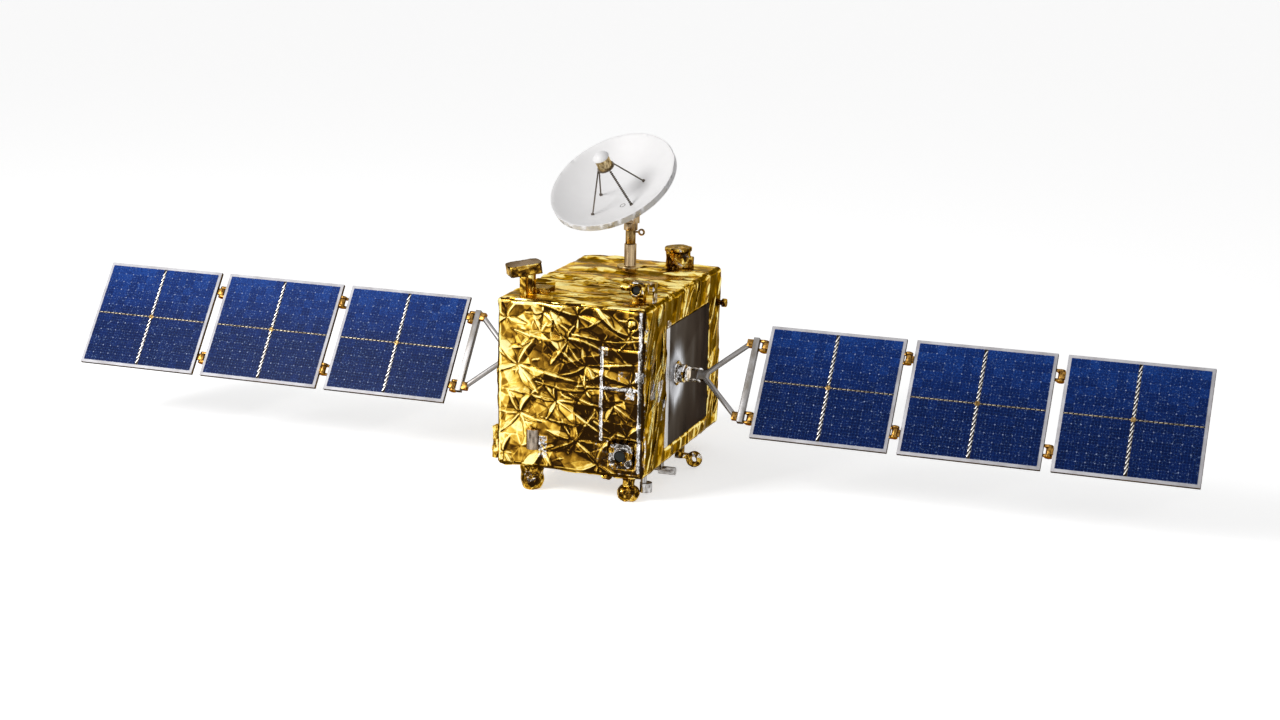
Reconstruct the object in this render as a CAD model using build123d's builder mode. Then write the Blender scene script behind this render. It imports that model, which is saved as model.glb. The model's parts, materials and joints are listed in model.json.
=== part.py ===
from build123d import *
import os
from math import cos, radians, sin, sqrt

os.makedirs("parts", exist_ok=True)

# Row frame: X across the craft along the solar wings, Y to the back, Z up.
# The origin is the centre of the launch ring's lower face.

# --- driving dimensions, mm -------------------------------------------------
# body
body_width = 1000.0
body_depth = 1550.0
body_height = 1100.0
panel_wall = 30.0

# launch ring and feet
ring_height = 110.0
ring_bolt_circle = 660.0
ring_bolt_count = 12
ring_bolt_hole_r = 5.5
ring_flange_width = 50.0
ring_flange_thickness = 12.0
ring_web = 10.0
foot_drop = 60.0
foot_bulb_level = 0.28
foot_waist_level = 0.60

# main engine
engine_plate_r = 70.0
engine_plate_thickness = 12.0
throat_r = 22.0
throat_length = 28.0
bell_exit_r = 85.0
bell_length = 100.0
bell_wall = 4.0
bell_swell = 0.74
bell_swell_level = 0.40

# solar wings
wing_axis_y = -125.0
wing_axis_height = 555.0
wing_tilt = 36.2
panel_length = 904.0
panel_width = 789.0
panel_thickness = 25.0
panel_rim = 22.0
cell_gap_across = 24.0
cell_gap_along = 13.0
cell_thickness = 2.0
hinge_gap = 64.0
hinge_spread = 255.0
hinge_offset = 22.0
disc_r = 25.0
disc_length = 16.0
knuckle_r = 19.0
knuckle_length = 45.0
knuckle_gap = 1.5
pin_r = 8.0
pin_clearance = 0.05
web_depth = 20.0
web_lift = 3.0

# wing drive and yoke
drive_flange_r = 80.0
drive_flange_thickness = 12.0
drive_barrel_r = 60.0
drive_barrel_length = 60.0
drive_shaft_r = 30.0
drive_shaft_depth = 45.0
drive_gap = 6.0
clevis_plate_r = 50.0
clevis_plate_thickness = 15.0
root_pin_reach = 155.0
yoke_length = 358.0
lug_r = 18.0
lug_thickness = 12.0
lug_relief = 2.0
root_block_width = 64.0
root_block_reach = 65.0
root_gap = 2.0
beam_size = 40.0
beam_length = 600.0
arm_r = 18.0
arm_root_spread = 18.0
arm_tip_spread = 258.0
fitting_length = 40.0
fitting_width = 52.0
fitting_height = 36.0

# front face: navigation camera, hatch, shroud and corner pod
nav_from_right = 140.0
nav_height = 150.0
nav_width = 160.0
nav_corner_r = 40.0
nav_proud = 35.0
nav_lens_r = 37.0
nav_rim = 12.0
nav_rim_proud = 16.0
lens_clearance = 0.5
hatch_from_right = 26.0
hatch_width = 254.0
hatch_low = 250.0
hatch_height = 590.0
hatch_thickness = 8.0
shroud_from_left = 250.0
shroud_low = 126.0
shroud_r = 46.0
shroud_length = 132.0
pod_low = 30.0
pod_width = 125.0
pod_height = 215.0
pod_proud = 42.0
pod_edge_r = 14.0

# radiators, as margins from the edges of the side panels
radiator_front_margin = 415.0
radiator_back_margin = 255.0
radiator_low_margin = 100.0
radiator_high_margin = 200.0
radiator_thickness = 6.0
radiator_clearance = 3.0

# deck camera: a head on two posts, turned to the front left and pitched down
head_from_left = 132.0
head_from_front = 108.0
head_length = 206.0
head_width = 150.0
head_height = 62.0
head_plate = 12.0
head_plate_lip = 10.0
head_turn = 216.0
head_pitch = 7.0
head_rise = 176.0
post_size = 44.0
front_post_shift = (22.0, -56.0)
rear_post_shift = (26.0, 66.0)
stand_base_shift = (62.0, 154.0)
stand_base_size = (140.0, 130.0)
stand_base_height = 38.0

# star tracker
tracker_from_right = 125.0
tracker_from_front = 232.0
tracker_foot_width = 74.0
tracker_foot_height = 50.0
tracker_width = 104.0
tracker_depth = 92.0
tracker_height = 78.0
tracker_lens_r = 28.0
tracker_hood = 9.0
tracker_hood_length = 26.0
tracker_arm_length = 72.0
tracker_arm_size = 40.0
bracket_width = 150.0
bracket_depth = 84.0
bracket_sheet = 8.0
bracket_shift = 34.0

# deck drum
drum_from_right = 258.0
drum_from_back = 159.0
drum_r = 85.0
drum_height = 122.0
drum_cap = 26.0
drum_lip = 9.0
drum_box_size = 46.0
drum_box_share = 0.70

# small pieces on the body
low_gain_from_back = 40.0
low_gain_from_top = 240.0
low_gain_r = 30.0
low_gain_stem_r = 18.0
low_gain_reach = 60.0
tie_y = 150.0
tie_inset = 60.0
tie_block = (50.0, 60.0)
tie_overhang = 45.0
tie_drop = 104.0
tie_ring_r = 54.0
tie_hole_r = 20.0
tie_arm = 34.0
tie_thickness = 36.0
corner_thruster_from_right = 17.0
corner_thruster_from_front = 125.0
corner_thruster_r = 40.0
corner_thruster_length = 62.0
thruster_neck_r = 20.0
thruster_neck_length = 52.0
side_thruster_y = -300.0
side_thruster_r = 27.0
side_thruster_drop = 65.0
side_thruster_block = 50.0
side_thruster_overhang = 62.0

# antenna mast and dish
mast_x = -57.0
mast_from_back = 299.0
mast_flange_r = 90.0
mast_flange_thickness = 20.0
mast_r = 41.5
mast_length = 150.0
azimuth_r = 34.5
azimuth_length = 94.0
azimuth_spigot_r = 25.0
azimuth_spigot_length = 60.0
azimuth_gap = 3.0
collar_r = 47.0
collar_length = 48.5
fork_base_thickness = 12.0
fork_spread = 84.0
fork_ear = 12.0
fork_width = 56.0
fork_ear_over = 26.0
pivot_height = 411.0
trunnion_r = 10.0
trunnion_block = 72.0
eye_r = 24.0
eye_wire_r = 6.0
eye_reach = 78.0
dish_azimuth = 19.2
dish_tilt = 37.2
dish_r = 450.0
dish_depth = 165.0
dish_shell = 8.0
dish_lip = 44.0
dish_lip_wall = 6.0
vertex_height = 110.0
dish_shift = -36.0
hub_r = 60.0
hub_length = 50.0
feed_r = 50.0
feed_bottom = 115.0
feed_length = 84.0
cap_r = 56.0
cap_skirt = 4.0
cap_dome = 32.0
strut_r = 5.0
strut_foot_r = 11.0
feed_plate = 6.0
feed_plate_lip = 10.0
strut_head_inset = 6.0

# --- derived places ---------------------------------------------------------
body_bottom = ring_height
body_top = body_bottom + body_height
half_width = body_width / 2
half_depth = body_depth / 2
wall_height = body_height - 2 * panel_wall
wing_axis_z = body_bottom + wing_axis_height
pivot_z = body_top + pivot_height
mast_y = half_depth - mast_from_back
root_pin_x = half_width + root_pin_reach
beam_outer_x = root_pin_x + yoke_length
line_1_x = beam_outer_x + hinge_gap / 2


def section_of(plane):
    """The plane through the same origin that holds a plane's x and z axes."""
    return Plane(origin=plane.origin, x_dir=plane.x_dir, z_dir=-plane.y_dir)


def save(part, name):
    """Label a finished piece and write it to its own file."""
    part.label = name
    export_step(part, f"parts/{name}.step")


# --- body panels ------------------------------------------------------------
# name, x, y, z of the lower face's centre, size x, y, z
body_panels = [
    ("bottom_deck", 0, 0, body_bottom, body_width, body_depth, panel_wall),
    ("top_deck", 0, 0, body_top - panel_wall, body_width, body_depth, panel_wall),
    ("front_panel", 0, -half_depth + panel_wall / 2, body_bottom + panel_wall,
     body_width, panel_wall, wall_height),
    ("back_panel", 0, half_depth - panel_wall / 2, body_bottom + panel_wall,
     body_width, panel_wall, wall_height),
    ("right_panel", half_width - panel_wall / 2, 0, body_bottom + panel_wall,
     panel_wall, body_depth - 2 * panel_wall, wall_height),
    ("left_panel", -half_width + panel_wall / 2, 0, body_bottom + panel_wall,
     panel_wall, body_depth - 2 * panel_wall, wall_height),
]
for name, x, y, z, size_x, size_y, size_z in body_panels:
    with BuildPart() as body_panel:
        with BuildSketch(Plane.XY.offset(z)):
            with Locations((x, y)):
                Rectangle(size_x, size_y)
        extrude(amount=size_z)
    save(body_panel.part, name)

# --- launch ring ------------------------------------------------------------
# A turned channel: two flanges on a web, bolts through the lower flange.
ring_outer_r = ring_bolt_circle / 2 + ring_flange_width / 2
ring_inner_r = ring_bolt_circle / 2 - ring_flange_width / 2
with BuildPart() as launch_ring:
    with BuildSketch():
        Circle(ring_outer_r)
        Circle(ring_inner_r, mode=Mode.SUBTRACT)
    extrude(amount=ring_flange_thickness)
    with BuildSketch(Plane.XY.offset(ring_flange_thickness)):
        Circle(ring_inner_r + ring_web)
        Circle(ring_inner_r, mode=Mode.SUBTRACT)
    extrude(amount=ring_height - 2 * ring_flange_thickness)
    with BuildSketch(Plane.XY.offset(ring_height - ring_flange_thickness)):
        Circle(ring_outer_r)
        Circle(ring_inner_r, mode=Mode.SUBTRACT)
    extrude(amount=ring_flange_thickness)
    with BuildSketch():
        with PolarLocations(ring_bolt_circle / 2, ring_bolt_count):
            Circle(ring_bolt_hole_r)
    extrude(amount=ring_flange_thickness, mode=Mode.SUBTRACT)
save(launch_ring.part, "launch_ring")

# --- main engine ------------------------------------------------------------
plate_bottom = body_bottom - engine_plate_thickness
bell_top = plate_bottom - throat_length
bell_bottom = bell_top - bell_length
with BuildPart() as main_engine:
    with BuildSketch(Plane.XZ):
        with BuildLine():
            Polyline((0, body_bottom), (engine_plate_r, body_bottom),
                     (engine_plate_r, plate_bottom), (throat_r + bell_wall, plate_bottom),
                     (throat_r + bell_wall, bell_top))
            bell_side = ThreePointArc(
                (throat_r + bell_wall, bell_top),
                (bell_exit_r * bell_swell, bell_top - bell_length * bell_swell_level),
                (bell_exit_r, bell_bottom))
            Line(bell_side @ 1, (bell_exit_r - bell_wall, bell_bottom))
            bell_inside = ThreePointArc(
                (bell_exit_r - bell_wall, bell_bottom),
                (bell_exit_r * bell_swell - bell_wall, bell_top - bell_length * bell_swell_level),
                (throat_r, bell_top))
            Polyline(bell_inside @ 1, (0, bell_top), (0, body_bottom))
        make_face()
    revolve(axis=Axis.Z)
save(main_engine.part, "main_engine")

# --- corner feet ------------------------------------------------------------
# Padded feet under the corners, as solids of revolution that share a node.
foot_height = ring_height + foot_drop
# x and y of the corner, inset in x and y, top, waist, bulb and pad radius
feet_table = [
    (-half_width, -half_depth, 210, 85, 82, 72, 74, 48),
    (half_width, -half_depth, -120, 77, 44, 37, 74, 46),
    (-half_width, half_depth, 210, -135, 82, 72, 74, 48),
    (half_width, half_depth, -260, -135, 44, 37, 74, 46),
]
with BuildPart() as feet:
    for corner_x, corner_y, inset_x, inset_y, top_r, waist_r, bulb_r, pad_r in feet_table:
        x = corner_x + inset_x
        y = corner_y + inset_y
        foot_section = Plane(origin=(x, y, -foot_drop), x_dir=(1, 0, 0), z_dir=(0, -1, 0))
        with BuildSketch(foot_section):
            with BuildLine():
                Polyline((0, 0), (pad_r, 0))
                ThreePointArc((pad_r, 0), (bulb_r, foot_height * foot_bulb_level),
                              (waist_r, foot_height * foot_waist_level))
                Polyline((waist_r, foot_height * foot_waist_level), (top_r, foot_height),
                         (0, foot_height), (0, 0))
            make_face()
        revolve(axis=Axis((x, y, 0), (0, 0, 1)))
save(feet.part, "feet")

# --- radiators --------------------------------------------------------------
radiator_front_y = -half_depth + radiator_front_margin
radiator_back_y = half_depth - radiator_back_margin
radiator_low = body_bottom + radiator_low_margin
radiator_high = body_top - radiator_high_margin
sides = [("right", 1), ("left", -1)]
with BuildPart() as radiators:
    for side, sign in sides:
        face = Plane(origin=(sign * half_width, 0, 0), x_dir=(0, 1, 0), z_dir=(1, 0, 0))
        with BuildSketch(face):
            with Locations(((radiator_front_y + radiator_back_y) / 2,
                            (radiator_low + radiator_high) / 2)):
                Rectangle(radiator_back_y - radiator_front_y, radiator_high - radiator_low)
            with Locations((wing_axis_y, wing_axis_z)):
                Circle(drive_flange_r + radiator_clearance, mode=Mode.SUBTRACT)
        extrude(amount=sign * radiator_thickness)
save(radiators.part, "radiators")

# --- wing drive housings ----------------------------------------------------
drive_face_x = half_width + drive_barrel_length
with BuildPart() as drive_housings:
    for side, sign in sides:
        face = Plane(origin=(sign * half_width, wing_axis_y, wing_axis_z),
                     x_dir=(0, sign, 0), z_dir=(sign, 0, 0))
        with BuildSketch(face):
            Circle(drive_flange_r)
        extrude(amount=drive_flange_thickness)
        with BuildSketch(face.offset(drive_flange_thickness)):
            Circle(drive_barrel_r)
        extrude(amount=drive_barrel_length - drive_flange_thickness)
        with BuildSketch(face.offset(drive_barrel_length)):
            Circle(drive_shaft_r)
        extrude(amount=-drive_shaft_depth, mode=Mode.SUBTRACT)
save(drive_housings.part, "drive_housings")

# --- solar wings ------------------------------------------------------------
# Local x runs out along the wing, y across it and z out of its cell side.
tilt = radians(wing_tilt)
across_root = root_block_width / 2 + root_gap
arm_end_x = beam_outer_x - beam_size - fitting_length
cell_length = (panel_length - 2 * panel_rim - cell_gap_across) / 2
cell_width = (panel_width - 2 * panel_rim - cell_gap_along) / 2
# hinge line: x of its pin, side of the panels it lies on
hinge_lines = [(line_1_x + n * (panel_length + hinge_gap), side_z)
               for n, side_z in enumerate((-1, 1, -1))]


def bar(start, end, radius):
    """A round bar from one point to another."""
    run = Vector(*end) - Vector(*start)
    with BuildPart() as piece:
        with BuildSketch(Plane(origin=start, z_dir=run)):
            Circle(radius)
        extrude(amount=run.length)
    return piece.part


def inboard_halves(frame, x, side_z):
    """The pin of each hinge on a line, with its two discs and their webs."""
    pin_z = side_z * hinge_offset
    web_z = pin_z - side_z * (web_lift + web_depth / 2)
    disc_start = knuckle_length / 2 + knuckle_gap
    with BuildPart() as halves:
        for y in (-hinge_spread, hinge_spread):
            cross = section_of(frame).offset(-y)
            with BuildSketch(cross):
                with Locations((x, pin_z)):
                    Circle(pin_r)
            extrude(amount=disc_start + disc_length, both=True)
            for end in (-1, 1):
                with BuildSketch(cross.offset(end * disc_start)):
                    with Locations((x, pin_z)):
                        Circle(disc_r)
                    with Locations((x - hinge_gap / 4, web_z)):
                        Rectangle(hinge_gap / 2, web_depth)
                extrude(amount=end * disc_length)
    return halves.part


def outboard_halves(frame, x, side_z):
    """The knuckle of each hinge on a line, with its web to the next panel."""
    pin_z = side_z * hinge_offset
    web_z = pin_z - side_z * (web_lift + web_depth / 2)
    with BuildPart() as halves:
        for y in (-hinge_spread, hinge_spread):
            cross = section_of(frame).offset(-y)
            with BuildSketch(cross):
                with Locations((x, pin_z)):
                    Circle(knuckle_r)
                with Locations((x + hinge_gap / 4, web_z)):
                    Rectangle(hinge_gap / 2, web_depth)
                with Locations((x, pin_z)):
                    Circle(pin_r + pin_clearance, mode=Mode.SUBTRACT)
            extrude(amount=knuckle_length / 2, both=True)
    return halves.part


for side, sign in sides:
    frame = Plane(origin=(0, wing_axis_y, wing_axis_z), x_dir=(sign, 0, 0),
                  z_dir=(0, -cos(tilt), sin(tilt)))
    outward = Plane(origin=frame.origin, x_dir=frame.y_dir, z_dir=frame.x_dir)
    across = section_of(frame)

    with BuildPart() as drive_clevis:
        with BuildSketch(outward.offset(drive_face_x - drive_shaft_depth + drive_gap)):
            Circle(drive_shaft_r - pin_clearance)
        extrude(amount=drive_shaft_depth)
        with BuildSketch(outward.offset(drive_face_x + drive_gap)):
            Circle(clevis_plate_r)
        extrude(amount=clevis_plate_thickness)
        for end in (-1, 1):
            with BuildSketch(across.offset(end * across_root)):
                with BuildLine():
                    lug_foot = drive_face_x + drive_gap + clevis_plate_thickness
                    Polyline((root_pin_x, lug_r), (lug_foot, lug_r), (lug_foot, -lug_r),
                             (root_pin_x, -lug_r))
                    ThreePointArc((root_pin_x, -lug_r), (root_pin_x + lug_r, 0),
                                  (root_pin_x, lug_r))
                make_face()
            extrude(amount=end * lug_thickness)
        with BuildSketch(across):
            with Locations((root_pin_x, 0)):
                Circle(pin_r)
        extrude(amount=across_root + lug_thickness, both=True)
    save(drive_clevis.part, f"drive_clevis_{side}")

    fitting_centre = arm_end_x + fitting_length / 2
    line_1_pins = inboard_halves(frame, line_1_x, -1)
    with BuildPart() as yoke_fittings:
        for y in (-arm_tip_spread, arm_tip_spread):
            with BuildSketch(frame.offset(-fitting_height / 2)):
                with Locations((fitting_centre, y)):
                    Rectangle(fitting_length, fitting_width)
            extrude(amount=fitting_height)
        add(line_1_pins)
    save(yoke_fittings.part, f"yoke_fittings_{side}")

    arms = []
    for end in (-1, 1):
        root = frame.from_local_coords((root_pin_x + root_block_reach - arm_r,
                                        end * arm_root_spread, 0))
        tip = frame.from_local_coords((fitting_centre, end * arm_tip_spread, 0))
        arms.append(bar(root, tip, arm_r))
    with BuildPart() as yoke_arms:
        with BuildSketch(across):
            with Locations((root_pin_x, 0)):
                Circle(lug_r - lug_relief)
            with Locations((root_pin_x + root_block_reach / 2, 0)):
                Rectangle(root_block_reach, 2 * (lug_r - lug_relief))
            with Locations((root_pin_x, 0)):
                Circle(pin_r + pin_clearance, mode=Mode.SUBTRACT)
        extrude(amount=root_block_width / 2, both=True)
        add(arms)
        add(yoke_fittings.part, mode=Mode.SUBTRACT)
    save(yoke_arms.part, f"yoke_arms_{side}")

    with BuildPart() as yoke_beam:
        with BuildSketch(frame.offset(-beam_size / 2)):
            with Locations((beam_outer_x - beam_size / 2, 0)):
                Rectangle(beam_size, beam_length)
        extrude(amount=beam_size)
    save(yoke_beam.part, f"yoke_beam_{side}")

    for n, (pin_x, side_z) in enumerate(hinge_lines, start=1):
        panel_x = pin_x + hinge_gap / 2
        middle_x = panel_x + panel_length / 2
        with BuildPart() as panel:
            with BuildSketch(frame.offset(-panel_thickness / 2)):
                with Locations((middle_x, 0)):
                    Rectangle(panel_length, panel_width)
            extrude(amount=panel_thickness)
        save(panel.part, f"panel_{n}_{side}")

        with BuildPart() as cells:
            with BuildSketch(frame.offset(panel_thickness / 2)):
                with Locations((middle_x, 0)):
                    with GridLocations(cell_length + cell_gap_across,
                                       cell_width + cell_gap_along, 2, 2):
                        Rectangle(cell_length, cell_width)
            extrude(amount=cell_thickness)
        save(cells.part, f"cells_{n}_{side}")

        halves = [outboard_halves(frame, pin_x, side_z)]
        if n < len(hinge_lines):
            next_x, next_side = hinge_lines[n]
            halves.append(inboard_halves(frame, next_x, next_side))
        with BuildPart() as hinges:
            add(halves)
        save(hinges.part, f"hinges_{n}_{side}")

# --- front face -------------------------------------------------------------
front_face = Plane(origin=(0, -half_depth, body_bottom), x_dir=(1, 0, 0), z_dir=(0, -1, 0))
nav_at = (half_width - nav_from_right, nav_height)
with BuildPart() as nav_camera:
    with BuildSketch(front_face):
        with Locations(nav_at):
            RectangleRounded(nav_width, nav_width, nav_corner_r)
    extrude(amount=nav_proud)
    with BuildSketch(front_face.offset(nav_proud)):
        with Locations(nav_at):
            Circle(nav_lens_r + nav_rim)
            Circle(nav_lens_r, mode=Mode.SUBTRACT)
    extrude(amount=nav_rim_proud)
save(nav_camera.part, "nav_camera")

with BuildPart() as nav_lens:
    with BuildSketch(front_face.offset(nav_proud)):
        with Locations(nav_at):
            Circle(nav_lens_r - lens_clearance)
    extrude(amount=nav_rim_proud / 2)
save(nav_lens.part, "nav_lens")

with BuildPart() as access_hatch:
    with BuildSketch(front_face):
        with Locations((half_width - hatch_from_right - hatch_width / 2,
                        hatch_low + hatch_height / 2)):
            Rectangle(hatch_width, hatch_height)
    extrude(amount=hatch_thickness)
save(access_hatch.part, "access_hatch")

with BuildPart() as front_shroud:
    with BuildSketch(Plane.XY.offset(body_bottom + shroud_low)):
        with Locations((-half_width + shroud_from_left, -half_depth)):
            Circle(shroud_r)
            with Locations((0, shroud_r)):
                Rectangle(2 * shroud_r, 2 * shroud_r, mode=Mode.SUBTRACT)
    extrude(amount=shroud_length)
save(front_shroud.part, "front_shroud")

with BuildPart() as corner_pod:
    with BuildSketch(Plane.XY.offset(body_bottom + pod_low)):
        with Locations((-half_width - pod_proud / 2, -half_depth + pod_width / 2)):
            Rectangle(pod_proud, pod_width)
    extrude(amount=pod_height)
    outer_edges = corner_pod.faces().sort_by(Axis.X)[0].edges()
    fillet(outer_edges, radius=pod_edge_r)
save(corner_pod.part, "corner_pod")

# --- deck camera ------------------------------------------------------------
deck = Plane.XY.offset(body_top)
head_x = -half_width + head_from_left
head_y = -half_depth + head_from_front
head_level = Plane(origin=(head_x, head_y, body_top + head_rise),
                   x_dir=(cos(radians(head_turn)), sin(radians(head_turn)), 0), z_dir=(0, 0, 1))
pitch = radians(head_pitch)
head_frame = Plane(origin=head_level.origin,
                   x_dir=head_level.x_dir * cos(pitch) - head_level.z_dir * sin(pitch),
                   z_dir=head_level.z_dir * cos(pitch) + head_level.x_dir * sin(pitch))
plate_length = head_length + 2 * head_plate_lip
plate_width = head_width + 2 * head_plate_lip
with BuildPart() as deck_camera_head:
    with BuildSketch(head_frame.offset(-head_height / 2)):
        Rectangle(head_length, head_width)
    extrude(amount=head_height)
    with BuildSketch(head_frame.offset(head_height / 2)):
        RectangleRounded(plate_length, plate_width, plate_width / 3)
    extrude(amount=head_plate)
save(deck_camera_head.part, "deck_camera_head")

with BuildPart() as deck_camera_stand:
    with BuildSketch(deck):
        with Locations((head_x + stand_base_shift[0], head_y + stand_base_shift[1])):
            Rectangle(*stand_base_size)
    extrude(amount=stand_base_height)
    with BuildSketch(deck):
        for shift_x, shift_y in (front_post_shift, rear_post_shift):
            with Locations((head_x + shift_x, head_y + shift_y)):
                Rectangle(post_size, post_size)
    extrude(amount=head_rise)
    with BuildSketch(head_frame.offset(-head_height / 2)):
        Rectangle(2 * head_length, 2 * head_length)
    extrude(amount=head_length, mode=Mode.SUBTRACT)
save(deck_camera_stand.part, "deck_camera_stand")

# --- star tracker -----------------------------------------------------------
tracker_x = half_width - tracker_from_right
tracker_y = -half_depth + tracker_from_front
tracker_top = tracker_foot_height + tracker_height
tracker_front = Plane(origin=(tracker_x, tracker_y - tracker_depth / 2,
                              body_top + tracker_foot_height + tracker_height / 2),
                      x_dir=(1, 0, 0), z_dir=(0, -1, 0))
with BuildPart() as star_tracker:
    with BuildSketch(deck):
        with Locations((tracker_x, tracker_y)):
            Rectangle(tracker_foot_width, tracker_foot_width)
    extrude(amount=tracker_foot_height)
    with BuildSketch(deck.offset(tracker_foot_height)):
        with Locations((tracker_x, tracker_y)):
            Rectangle(tracker_width, tracker_depth)
    extrude(amount=tracker_height)
    with BuildSketch(tracker_front):
        Circle(tracker_lens_r + tracker_hood)
        Circle(tracker_lens_r, mode=Mode.SUBTRACT)
    extrude(amount=tracker_hood_length)
    with BuildSketch(Plane(origin=(tracker_x - tracker_width / 2, tracker_y,
                                   body_top + tracker_foot_height + tracker_height / 2),
                           x_dir=(0, 1, 0), z_dir=(-1, 0, 0))):
        Circle(tracker_arm_size / 2)
    extrude(amount=tracker_arm_length)
save(star_tracker.part, "star_tracker")

with BuildPart() as tracker_lens:
    with BuildSketch(tracker_front):
        Circle(tracker_lens_r - lens_clearance)
    extrude(amount=tracker_hood_length / 2)
save(tracker_lens.part, "tracker_lens")

bracket_right = tracker_x + bracket_shift + bracket_width / 2
with BuildPart() as tracker_bracket:
    with BuildSketch(deck.offset(tracker_top)):
        with Locations((tracker_x + bracket_shift, tracker_y)):
            Rectangle(bracket_width, bracket_depth)
    extrude(amount=bracket_sheet)
    with BuildSketch(deck):
        with Locations((bracket_right - bracket_sheet / 2, tracker_y)):
            Rectangle(bracket_sheet, bracket_depth)
    extrude(amount=tracker_top)
save(tracker_bracket.part, "tracker_bracket")

# --- deck drum --------------------------------------------------------------
drum_x = half_width - drum_from_right
drum_y = half_depth - drum_from_back
with BuildPart() as deck_drum:
    with BuildSketch(deck):
        with Locations((drum_x, drum_y)):
            Circle(drum_r)
    extrude(amount=drum_height)
    with BuildSketch(deck.offset(drum_height)):
        with Locations((drum_x, drum_y)):
            Circle(drum_r + drum_lip)
    extrude(amount=drum_cap)
    with BuildSketch(deck):
        with Locations((drum_x + drum_r, drum_y)):
            Rectangle(drum_box_size, drum_box_size)
    extrude(amount=drum_height * drum_box_share)
save(deck_drum.part, "deck_drum")

# --- low gain antenna -------------------------------------------------------
low_gain_face = Plane(origin=(half_width, half_depth - low_gain_from_back,
                              body_top - low_gain_from_top), x_dir=(0, 1, 0), z_dir=(1, 0, 0))
with BuildPart() as low_gain_antenna:
    with BuildSketch(low_gain_face):
        Circle(low_gain_stem_r)
    extrude(amount=low_gain_reach / 2)
    with BuildSketch(low_gain_face.offset(low_gain_reach / 2)):
        Circle(low_gain_r)
    extrude(amount=low_gain_reach / 2)
save(low_gain_antenna.part, "low_gain_antenna")

# --- tie-down eye -----------------------------------------------------------
# A padded ring beside the right edge, on an arm from a block under the body.
tie_ring_x = half_width + tie_overhang
tie_block_x = half_width - tie_inset
tie_section = Plane(origin=(tie_ring_x, tie_y, body_bottom - tie_drop),
                    x_dir=(1, 0, 0), z_dir=(0, -1, 0))
tie_arm_length = tie_ring_x - tie_block_x
with BuildPart() as tie_down_eye:
    with BuildSketch(Plane.XY.offset(body_bottom)):
        with Locations((tie_block_x, tie_y)):
            Rectangle(tie_block[0], tie_block[1])
    extrude(amount=-tie_drop)
    with BuildSketch(tie_section):
        Circle(tie_ring_r)
        with Locations((-tie_arm_length / 2, tie_arm / 2)):
            Rectangle(tie_arm_length, tie_arm)
        Circle(tie_hole_r, mode=Mode.SUBTRACT)
    extrude(amount=tie_thickness / 2, both=True)
save(tie_down_eye.part, "tie_down_eye")

# --- thrusters --------------------------------------------------------------
corner_x = half_width - corner_thruster_from_right
corner_y = -half_depth + corner_thruster_from_front
side_x = half_width - side_thruster_block
side_section = Plane(origin=(side_x, side_thruster_y, body_bottom - side_thruster_drop),
                     x_dir=(0, 1, 0), z_dir=(1, 0, 0))
with BuildPart() as thrusters:
    with BuildSketch(Plane.XY.offset(body_bottom)):
        with Locations((corner_x - corner_thruster_from_right, corner_y)):
            Circle(thruster_neck_r)
    extrude(amount=-thruster_neck_length)
    with BuildSketch(Plane.XY.offset(body_bottom - thruster_neck_length)):
        with Locations((corner_x, corner_y)):
            Circle(corner_thruster_r)
    extrude(amount=-corner_thruster_length)
    with BuildSketch(Plane.XY.offset(body_bottom)):
        with Locations((side_x, side_thruster_y)):
            Rectangle(side_thruster_block, side_thruster_block)
    extrude(amount=-side_thruster_drop)
    with BuildSketch(side_section):
        Circle(side_thruster_r)
    extrude(amount=side_thruster_block + side_thruster_overhang)
save(thrusters.part, "thrusters")

# --- antenna mast -----------------------------------------------------------
mast_foot = Plane(origin=(mast_x, mast_y, body_top), x_dir=(1, 0, 0), z_dir=(0, 0, 1))
mast_top = mast_flange_thickness + mast_length
with BuildPart() as mast:
    with BuildSketch(mast_foot):
        Circle(mast_flange_r)
    extrude(amount=mast_flange_thickness)
    with BuildSketch(mast_foot.offset(mast_flange_thickness)):
        Circle(mast_r)
    extrude(amount=mast_length)
    with BuildSketch(mast_foot.offset(mast_top)):
        Circle(azimuth_spigot_r)
    extrude(amount=-azimuth_spigot_length, mode=Mode.SUBTRACT)
save(mast.part, "mast")

# --- azimuth stage ----------------------------------------------------------
azimuth_bottom = mast_top + azimuth_gap
collar_bottom = azimuth_bottom + azimuth_length
collar_top = collar_bottom + collar_length
eye_height = collar_bottom - eye_r / 2
pivot = (mast_x, mast_y, pivot_z)
dish_turn = radians(dish_azimuth)
dish_lean = radians(dish_tilt)
hinge_dir = (cos(dish_turn), -sin(dish_turn), 0)
dish_dir = (-sin(dish_lean) * sin(dish_turn), -sin(dish_lean) * cos(dish_turn), cos(dish_lean))
turned_foot = Plane(origin=(mast_x, mast_y, body_top), x_dir=hinge_dir, z_dir=(0, 0, 1))
with BuildPart() as azimuth_tube:
    with BuildSketch(mast_foot.offset(azimuth_bottom)):
        Circle(azimuth_r)
    extrude(amount=azimuth_length)
    with BuildSketch(mast_foot.offset(azimuth_bottom)):
        Circle(azimuth_spigot_r - pin_clearance)
    extrude(amount=-azimuth_spigot_length + azimuth_gap)
    eye_plane = Plane(origin=(mast_x + eye_reach, mast_y, body_top + eye_height),
                      x_dir=(1, 0, 0), z_dir=(0, -1, 0))
    with BuildSketch(eye_plane.offset(-eye_wire_r)):
        Circle(eye_r)
        Circle(eye_r - 2 * eye_wire_r, mode=Mode.SUBTRACT)
        with Locations((-(eye_reach + eye_r - eye_wire_r) / 2, 0)):
            Rectangle(eye_reach - eye_r + eye_wire_r, 2 * eye_wire_r)
    extrude(amount=2 * eye_wire_r)
save(azimuth_tube.part, "azimuth_tube")

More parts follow.
